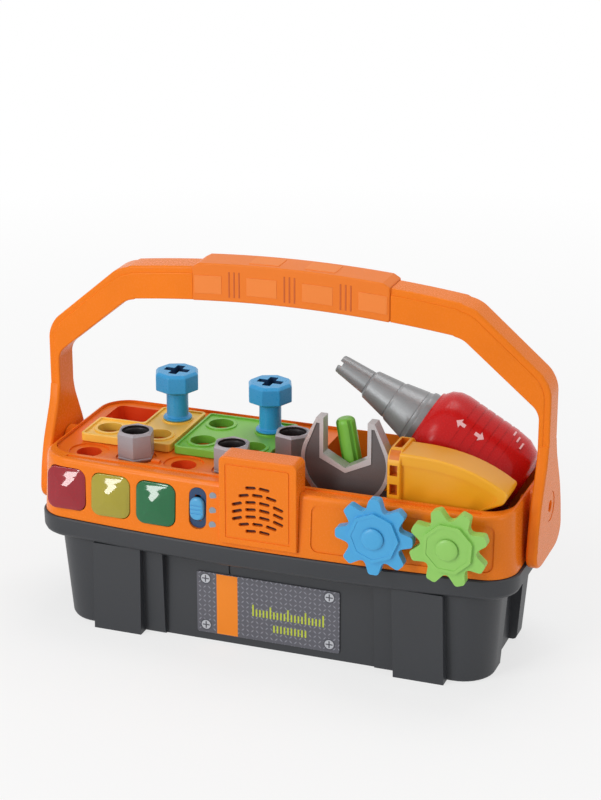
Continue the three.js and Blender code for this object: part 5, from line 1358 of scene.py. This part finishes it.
head = cut(wrench_blank(wrench_radius, wrench_rise, -wrench_half, wrench_half),
           wrench_mouth(0, -2 * wrench_half, 2 * wrench_half))
shaft_top, shaft_foot = -wrench_radius / 2, wrench_low.z - wrench_z
shaft = plate(0, (shaft_top + shaft_foot) / 2, shaft_wide, shaft_top - shaft_foot, -shaft_thick / 2,
              shaft_thick / 2, "y", shaft_wide / 2 - gap)
sink_spans = ((-2 * wrench_half, rim_deep - wrench_half), (wrench_half - rim_deep, 2 * wrench_half))
sinks = [cut(wrench_blank(wrench_radius - rim_wide, wrench_rise - rim_at_tips * rim_wide, front, back),
             wrench_mouth(rim_wide, front - over, back + over)) for front, back in sink_spans]
wrench = soften(cut(join(soften(head, 0.7, 3, 50), soften(shaft, 0.8, 3)), *sinks), 0.2, 2, 60)
# The rim and the sides take the paler silver, a painted highlight. The sunk faces keep the dark one.
paint(wrench, lambda face, spot: spot.z >= 1 - wrench_radius
      and not (abs(face.normal.y) > 0.9 and abs(abs(spot.y) - wrench_half + rim_deep) < 0.1))
dress(moved(wrench, wrench_x, wrench_y, wrench_z), "wrench_dressed", "toy_wrench", [wrench_dark, wrench_highlight],
      ["wrench"])

# %% Model the screwdriver
blade_radius, blade_long, blade_dome, flute_count, flute_wide = 6.2, 62.0, 3.2, 4, 3.0
driver_lean, driver_top, driver_x, driver_y = 10.5, 155.0, 39.7, -18.3
driver_grip, driver_neck, driver_neck_long, tang, tang_long = 7.4, 1.4, 6.0, 4.0, 14.0
grip_flutes, grip_flute, grip_flute_deep, grip_flute_end = 6, 1.5, 0.8, 6


def leaned(bm):
    """Puts a screwdriver piece that was made about Z, with its tip at zero, into its place."""
    return moved(rotated(bm, -driver_lean, "Y"), driver_x, driver_y, driver_top)


def around(count, first, make):
    """As many shapes round the Z axis, starting at an angle."""
    return [rotated(make(), first + step * 360 / count) for step in range(count)]


dome_turns = [math.radians(90 * step / 6) for step in range(7)]
dome = [(blade_radius - blade_dome + blade_dome * math.cos(turn), blade_dome * (math.sin(turn) - 1))
        for turn in dome_turns]
blade = turned([(0, -blade_long), (blade_radius, -blade_long)] + dome + [(0, 0)])
flutes = around(flute_count, 45, lambda: soften(
    block((blade_radius - flute_wide / 2, -flute_wide / 2, -blade_long / 2),
          (blade_radius + over, flute_wide / 2, over)), 0.7, 3))
blade = soften(cut(blade, *flutes), 0.35, 3, 40)
blade = join(blade, rod(tang, -blade_long - tang_long, gap - blade_long, steps=20))
dress(leaned(blade), "screwdriver_blade_dressed", "toy_screwdriver", plate_green, ["screwdriver_blade"])

grip_top = -blade_long - gap
lean = math.radians(driver_lean)
grip_foot = -(driver_top - span("screwdriver_grip")[0].z - driver_grip * math.sin(lean)) / math.cos(lean)
waist = grip_top - driver_neck_long / 2
driver = turned([(0, grip_foot), (driver_grip - 2, grip_foot), (driver_grip - 0.6, grip_foot + 0.6),
                 (driver_grip, grip_foot + 2), (driver_grip, waist - 3), (driver_grip - 0.5, waist - 1.2),
                 (driver_grip - driver_neck, waist), (driver_grip - driver_neck / 2, grip_top),
                 (0, grip_top)])
flutes = around(grip_flutes, 0, lambda: soften(
    block((driver_grip - grip_flute_deep, -grip_flute / 2, grip_foot + grip_flute_end),
          (driver_grip + over, grip_flute / 2, waist - grip_flute_end)), 0.5, 2))
socket = rod(tang + gap, -blade_long - tang_long - gap, over, steps=24)
dress(leaned(soften(cut(driver, socket, *flutes), 0.2, 2, 50)), "screwdriver_grip_dressed", "toy_screwdriver",
      orange, ["screwdriver_grip"])

# %% Model the hammer's head
hammer_low, hammer_high = span("hammer_head")
face_left, face_thick, face_deep, face_foot, face_corner = hammer_low.x, 8.6, 34.4, 100.0, 9.0
hammer_top, hammer_foot, tip_foot, tip_mid = 146.0, 108.0, 121.0, 128.0
hammer_left, bend, tip_x, fin_steps, fin_power = 84.0, 124.0, 154.0, 14, 2.7
fin_rounds = [0, 6, 2, 2]
hammer_back, hammer_thick = -20.0, 24.0
hammer_front = hammer_back - hammer_thick
band_inset, band_deep, band_drop, band_sink = 6, 1.4, 6.0, 1.5
window_count, window_wide, window_tall, window_pitch, window_deep = 3, 5.0, 7.0, 12.5, 5.0
stick_low, stick_high = span("hammer_grip")


def fin(inset, drop, front, back):
    """The wedge from the side: a level top that curves down to a round tip, and a foot that rises to it."""
    near, far, top = hammer_left - gap, tip_x - inset, hammer_top - drop
    fall = top - tip_mid + inset / 6
    shares = [step / fin_steps for step in range(fin_steps + 1)]
    crown = [(near + (far - near) * share, top - fall * share ** fin_power) for share in shares]
    foot = [(near, hammer_foot), (bend, hammer_foot), (far - 3, tip_foot + inset / 3)]
    return slab(foot + crown[::-1], front, back, "y", fin_rounds + [0] * fin_steps, 6)


wedge = soften(fin(0, 0, hammer_front, hammer_back), 1.6, 4, 50)
# A shallow field is sunk in each flat side, so that a band is left standing along the top.
fields = [moved(fin(band_inset, band_drop, front, back), z=-band_sink)
          for front, back in ((hammer_front - over, hammer_front + band_deep),
                              (hammer_back - band_deep, hammer_back + over))]
face_block = soften(plate(hammer_low.y + face_deep / 2, (hammer_high.z + face_foot) / 2, face_deep,
                          hammer_high.z - face_foot, face_left, face_left + face_thick, "x", face_corner),
                    1.0, 4)
middle = face_left + face_thick / 2
window_left, window_right = middle - window_wide / 2, middle + window_wide / 2
window_tops = [hammer_high.z - face_corner - step * window_pitch for step in range(window_count)]
windows = [block((window_left, hammer_low.y - over, top - window_tall),
                 (window_right, hammer_low.y + window_deep, top)) for top in window_tops]
windows.append(block((window_left, hammer_low.y + face_corner, hammer_high.z - window_deep),
                     (window_right, hammer_low.y + face_deep - face_corner, hammer_high.z + over)))
socket = block((stick_low.x - gap, stick_low.y - gap, hammer_foot - over),
               (stick_high.x + gap, stick_high.y + gap, stick_high.z + gap))
hammer = soften(cut(join(cut(wedge, *fields), face_block), *windows, socket), 0.3, 2, 60)


def in_window(face, spot):
    behind = hammer_low.y + 0.6 < spot.y < hammer_low.y + window_deep + 0.1
    below = spot.z > hammer_high.z - window_deep - 0.1
    inside = abs(spot.x - middle) <= window_wide / 2 + 0.05 and spot.z < hammer_high.z - 0.6
    return inside and (behind or below)


dress(paint(hammer, in_window), "hammer_head_dressed", "toy_hammer", [hammer_yellow, hammer_shade],
      ["hammer_head"])

# %% Model the hammer's grip
stick_corner, ring_count, ring_first, ring_pitch, ring_wide, ring_deep = 4.0, 6, 12, 9, 3, 0.6
stick_x, stick_y = centre("hammer_grip").x, centre("hammer_grip").y
stick_wide, stick_deep = stick_high.x - stick_low.x, stick_high.y - stick_low.y
stick = soften(plate(stick_x, stick_y, stick_wide, stick_deep, stick_low.z, stick_high.z, "z",
                     stick_corner, 6), 1.0, 3)
ring_feet = [stick_low.z + ring_first + step * ring_pitch for step in range(ring_count)]
rings = [cut(block((stick_low.x - over, stick_low.y - over, foot),
                   (stick_high.x + over, stick_high.y + over, foot + ring_wide)),
             plate(stick_x, stick_y, stick_wide - 2 * ring_deep, stick_deep - 2 * ring_deep, foot - over,
                   foot + 2 * over, "z", stick_corner - ring_deep, 6)) for foot in ring_feet]
dress(soften(cut(stick, *rings), 0.25, 2, 60), "hammer_grip_dressed", "toy_hammer", screw_blue,
      ["hammer_grip"])

# %% [markdown]
# ## The toy drill
# The drill lies in the tray at an angle. It is modelled in its own frame, with its axis along X and the
# tip of the bit at zero, and turned into its place at the end. The body is a turned barrel joined to a
# grip, hollowed by the same shapes drawn in, and then parted along the middle into two shells, as the real
# one is moulded.

# %% Set up the drill's frame
drill_tip, drill_dip, drill_roll = Vector((24.1, 17.0, 177.6)), 29.7, -24.0
barrel_start, barrel_long, barrel_radius, shell_wall = 65.8, 74.6, 30.0, 2.3
barrel_end = barrel_start + barrel_long
# The barrel's outline: radius as a share of the largest, and how far along it lies.
barrel_shares = [(0.73, 0), (0.75, 0.02), (0.88, 0.06), (0.97, 0.13), (1, 0.2), (1, 0.7), (0.96, 0.84),
                 (0.84, 0.94), (0.62, 1)]
grip_x, grip_long, grip_thick, grip_round, grip_drop = 98.0, 28.0, 22.0, 7.0, 83.0
grip_mid = grip_x + grip_long / 2
bit_radius, spindle_radius, spindle_long = 19.6, 5.0, 9.0


def along(bm):
    """Lays a shape that was turned about Z along X, with its height running to the back."""
    return rotated(bm, 90, "Y")


def along_rod(radius, start, end):
    return along(rod(radius, start, end, steps=72))


def dress_drill(bm, name, body, finish, stands_for):
    """Turns a drill piece from its own frame into the tray and dresses it."""
    rotated(rotated(bm, drill_roll, "X"), drill_dip, "Y")
    dress(moved(bm, *drill_tip), name, body, finish, stands_for)


def barrel(inset):
    """The barrel drawn in by an inset."""
    profile = [(out * barrel_radius - inset, barrel_start + inset + back * (barrel_long - 2 * inset))
               for out, back in barrel_shares]
    return along(turned([(0, profile[0][1])] + profile + [(0, profile[-1][1])], steps=72))


def drill_grip(inset):
    foot = -grip_drop - (over if inset else 0)
    return plate(grip_mid, 0, grip_long - 2 * inset, grip_thick - 2 * inset, foot, -barrel_radius / 2, "z",
                 grip_round - inset)


# %% Model the drill's shells
trigger_top, trigger_tall, trigger_wide, trigger_out = -31.0, 14.0, 9.0, 6.0
selector_x, selector_long, selector_z, selector_tall, selector_out, travel = 90.0, 18.0, -15.0, 7.0, 1.4, 3.0
line_count, line_first, line_pitch, line_wide, line_deep, line_low = 7, 88.0, 6.2, 1.5, 0.35, -4
seam, high = 0.15, 2 * barrel_radius
body = soften(join(barrel(0), drill_grip(0)), 1.2, 3, 55)
# Fine lines run round the upper part of the barrel.
lines = []
for start in [line_first + step * line_pitch for step in range(line_count)]:
    ring = cut(along_rod(barrel_radius + over, start, start + line_wide),
               along_rod(barrel_radius - line_deep, start - over, start + over))
    upper = block((barrel_start, -high, line_low), (barrel_start + barrel_end, high, high))
    lines.append(common(ring, upper))
hollow = join(barrel(shell_wall), drill_grip(shell_wall))
nose = along_rod(bit_radius + gap, barrel_start - over, barrel_start + 2 * over)
trigger_slot = block((grip_x - over, -trigger_wide / 2 - gap, trigger_top - trigger_tall - gap),
                     (grip_x + grip_long / 3, trigger_wide / 2 + gap, trigger_top + gap))
shell = cut(body, *lines, hollow, nose, trigger_slot)
reach = selector_long / 2 + travel + gap
selector_slot = block((selector_x - reach, -barrel_radius - over, selector_z - selector_tall / 2 - gap),
                      (selector_x + reach, 0, selector_z + selector_tall / 2 + gap))
start, end, foot = barrel_start - over, barrel_end + over, -grip_drop - over
near = cut(common(shell.copy(), block((start, -high, foot), (end, -seam, high))), selector_slot)
far = common(shell, block((start, seam, foot), (end, high, high)))
for half, side in ((near, "near"), (far, "far")):
    dress_drill(soften(half, 0.3, 2, 55), "drill_" + side + "_shell", "toy_drill", drill_red,
                ["drill_shell_" + side])

# %% [markdown]
# Two plain arrows beside the selector and a row of dashes near the back are pale marks on the barrel. Each is
# drawn flat, lifted until it stands just out of the barrel, and turned round the barrel's axis.

# %% Lay the drill's pale marks
mark_foot, mark_top, mark_lift = 0.6, 1.12, barrel_radius - 1
arrow_long, arrow_turn, arrow_half = 6.8, 64.0, 1.2
dash_wide, dash_tall, dash_top, dash_count, dash_first, dash_pitch = 1.2, 6.0, 1.1, 3, 26, 7
dash_start, dash_step = barrel_start + barrel_long * 0.7, 4
# The two arrows: place along the barrel and way.
arrows = ((selector_x - 3, -1), (selector_x + 11, 1))


def on_barrel(bm, x, degrees):
    """Puts a flat mark, drawn about zero and facing up, on the barrel at an angle round it."""
    return rotated(moved(bm, x, 0, mark_lift), degrees, "X")


marks = []
for x, way in arrows:
    tip, edge = way * arrow_long / 2, way * arrow_half
    arrow = [(tip, 0), (0, tip), (0, edge), (-tip, edge), (-tip, -edge), (0, -edge), (0, -tip)]
    marks.append(on_barrel(slab(arrow, mark_foot, mark_top), x, arrow_turn))
for step in range(dash_count):
    marks.append(on_barrel(plate(0, 0, dash_wide, dash_tall, mark_foot, dash_top),
                           dash_start + dash_step * step, dash_first + dash_pitch * step))
dress_drill(gather(*marks), "drill_marks", "toy_drill", mark_pale, ())

# %% Model the drill's bit
bit_tip, bit_edge = 6.2, 0.7
# Three cones, each a little wider than the last: start, radius there, end and radius there.
bit_sections = [(0.0, 6.2, 22.5, 8.2), (23.5, 10.0, 41.5, 13.0), (42.8, 13.9, 58.6, 17.4)]
bit_rim, bit_rim_bevel, slit_deep, slit_thick = 5.0, 1.6, 2.5, 3.0
seat, rim_start = barrel_start + shell_wall, barrel_start - bit_rim
profile = [(0, 0)]
for start, thin, end, thick in bit_sections:
    profile += [(thin - bit_edge, start), (thin, start + bit_edge), (thick, end - bit_edge / 2),
                (thick - bit_edge / 3, end)]
profile += [(bit_radius - bit_rim_bevel, rim_start), (bit_radius - 0.3, rim_start + 0.9),
            (bit_radius, barrel_start - bit_rim / 2), (bit_radius, seat), (spindle_radius, seat),
            (spindle_radius, seat + spindle_long), (0, seat + spindle_long)]
slits = [rotated(block((-over, -slit_thick / 2, -bit_tip - over),
                       (slit_deep, slit_thick / 2, bit_tip + over)), turn, "X") for turn in (0, 90)]
bit = cut(along(turned(profile, steps=56)), *slits)
dress_drill(soften(bit, 0.35, 2, 45), "bit_dressed", "bit", bit_silver, ["drill_bit"])

# %% Model the drill's controls
tongue_long, tongue_tall, lens_radius, groove_pitch, groove_half = 8, 5, 45, 3, 0.5
butt_thick = 2.4
trigger = soften(plate(grip_x + gap - trigger_out / 2, 0, trigger_out, trigger_wide,
                       trigger_top - trigger_tall, trigger_top, "z", trigger_out / 3, 5), 0.8, 3)
tongue = block((grip_x - gap, -trigger_wide / 3, trigger_top - tongue_tall),
               (grip_x + tongue_long, trigger_wide / 3, trigger_top - gap))
dress_drill(join(trigger, tongue), "trigger_dressed", "trigger", charcoal_smooth, ["drill_trigger"])

# The selector's face is a lens: the common part of its block and a lying rod.
selector_face = -math.sqrt(barrel_radius ** 2 - selector_z ** 2) - selector_out
selector = block((selector_x - selector_long / 2, selector_face, selector_z - selector_tall / 2),
                 (selector_x + selector_long / 2, selector_face + selector_out + 2 * shell_wall,
                  selector_z + selector_tall / 2))
selector = common(selector, rod(lens_radius, selector_z - over, selector_z + over, "z",
                                (selector_x, selector_face + lens_radius, 0), 160))
groove_middles = [selector_x + step * groove_pitch for step in (-1, 0, 1)]
grooves = [block((x - groove_half, selector_face - over, selector_z - over),
                 (x + groove_half, selector_face + groove_half, selector_z + over)) for x in groove_middles]
dress_drill(soften(cut(selector, *grooves), 0.25, 2, 40), "selector_dressed", "selector", charcoal_smooth,
            ["drill_selector"])

butt_top = -grip_drop - gap
butt = soften(plate(grip_mid, 0, grip_long, grip_thick, butt_top - butt_thick, butt_top, "z", grip_round),
              0.7, 3)
dress_drill(butt, "drill_butt", "toy_drill", charcoal, ["drill_battery_door"])

# %% [markdown]
# ## The label and the small parts
# A printed label is glued into the long panel at the front: a tread plate ground, an orange stripe,
# painted screw heads in the corners and a plain rule of short ticks. Each is a very thin slab on the
# plate, with its own finish, so its edges stay crisp from close by.

# %% Model the label
label_low, label_high = span("label_plate")
label_corner, label_edge = 1.5, 0.3
print_low, print_step = 0.02, 0.05
stripe_left, stripe_right = -36.2, -21.7
corner_x, corner_z, painted_radius, painted_slot = (-43.8, 41.1), (44.0, 11.0), 3.1, 0.8
painted_ring, slot_margin, round_share = 0.9, 1.4, 0.98
tick_left, tick_right, tick_pitch, tick_wide, tick_tall, tick_long = -11.0, 37.0, 2.4, 1.1, 5.0, 8.0
tick_foot, low_tick_foot, low_tick_left, low_tick_right, long_every = 22.5, 13.0, 3.0, 27.0, 5


def printed(middle_x, middle_z, wide, tall, finish, layer=1, rounds=0):
    """A thin printed shape on the label's face. A higher layer lies over a lower one."""
    shape = plate(middle_x, middle_z, wide, tall, label_low.y - print_low - print_step * layer,
                  label_low.y + print_low, "y", rounds, 10)
    return with_finish(shape, finish)


ground = soften(plate(centre("label_plate").x, centre("label_plate").z, label_high.x - label_low.x,
                      label_high.z - label_low.z, label_low.y, label_high.y, "y", label_corner, 6), 0.15, 2)
prints = [printed((stripe_left + stripe_right) / 2, centre("label_plate").z, stripe_right - stripe_left,
                  label_high.z - label_low.z - 2 * label_edge, 2)]
slot_long = 2 * painted_radius - slot_margin
for x in corner_x:
    for z in corner_z:
        for layer, radius, finish in ((1, painted_radius + painted_ring, 1), (2, painted_radius, 4)):
            prints.append(printed(x, z, 2 * radius, 2 * radius, finish, layer, radius * round_share))
        prints += [printed(x, z, slot_long, painted_slot, 1, 3), printed(x, z, painted_slot, slot_long, 1, 4)]
for tick in range(int((tick_right - tick_left) / tick_pitch) + 1):
    x = tick_left + tick * tick_pitch
    tall = tick_tall if tick % long_every else tick_long
    prints.append(printed(x, tick_foot + tall / 2, tick_wide, tall, 3))
    if low_tick_left <= x <= low_tick_right:
        prints.append(printed(x, low_tick_foot + tick_tall / 2, tick_wide, tick_tall, 3))
dress(gather(ground, *prints), "label", "tool_box",
      [label_print, label_dark, label_orange, label_lime, label_silver], ["label_plate"])

# %% Model the battery door
ridge_count, ridge_gap, ridge_first, ridge_depth, ridge_width, ridge_half = 6, 3.2, 4, 0.5, 1.4, 9
tab_wide, tab_inside = 16.0, 4
door_plate = plate(battery_x, 0, door_high.x - door_low.x, 2 * door_half_y, door_low.z, door_high.z,
                   "z", 2.0, 5)
door_tab = plate(battery_x, (door_half_y + door_high.y - tab_inside) / 2, tab_wide,
                 door_high.y - door_half_y + tab_inside, door_low.z, door_high.z, "z", 2.4, 5)
ridge_starts = [ridge_first - door_half_y + step * ridge_gap for step in range(ridge_count)]
door_ridges = [block((battery_x - ridge_half, start, door_low.z - over),
                     (battery_x + ridge_half, start + ridge_width, door_low.z + ridge_depth))
               for start in ridge_starts]
door_hole = rod(screw_hole, door_low.z - over, door_high.z + over, "z", (battery_x, screw_y, 0), 20)
door = soften(cut(join(door_plate, door_tab), *door_ridges, door_hole), 0.3, 2)
dress(door, "battery_hatch", "tool_box", charcoal, ["battery_door"])

# %% [markdown]
# The parts inside are seen only through the grille, through a lens or when the hatch is off. Their solids
# are already the right shape, so each keeps its own mesh and gets a finish.

# %% Finish the parts inside
# The speaker takes the dark red-brown, painted shade seen through the grille.
INSIDE = {
    "main_board": board_green, "lamp_board": board_green, "slide_switch": tin, "speaker": speaker_shade_brown,
    "battery_box": charcoal_smooth, "battery_contact_left": tin, "battery_contact_right": tin,
    "battery_door_screw": steel, "drill_gearbox": charcoal_smooth, "drill_motor": steel,
}
INSIDE.update({"battery_" + number: tin for number in "123"})
INSIDE.update({"drill_battery_" + number: tin for number in "12"})
INSIDE.update({"lamp_" + name: lamp_white for name in button_names})
INSIDE.update({node: steel for node in CASE_SCREWS})
for node, finish in INSIDE.items():
    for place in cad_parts[node].material_slots:
        place.material = finish
print("finished inside:", len(INSIDE), "nodes")
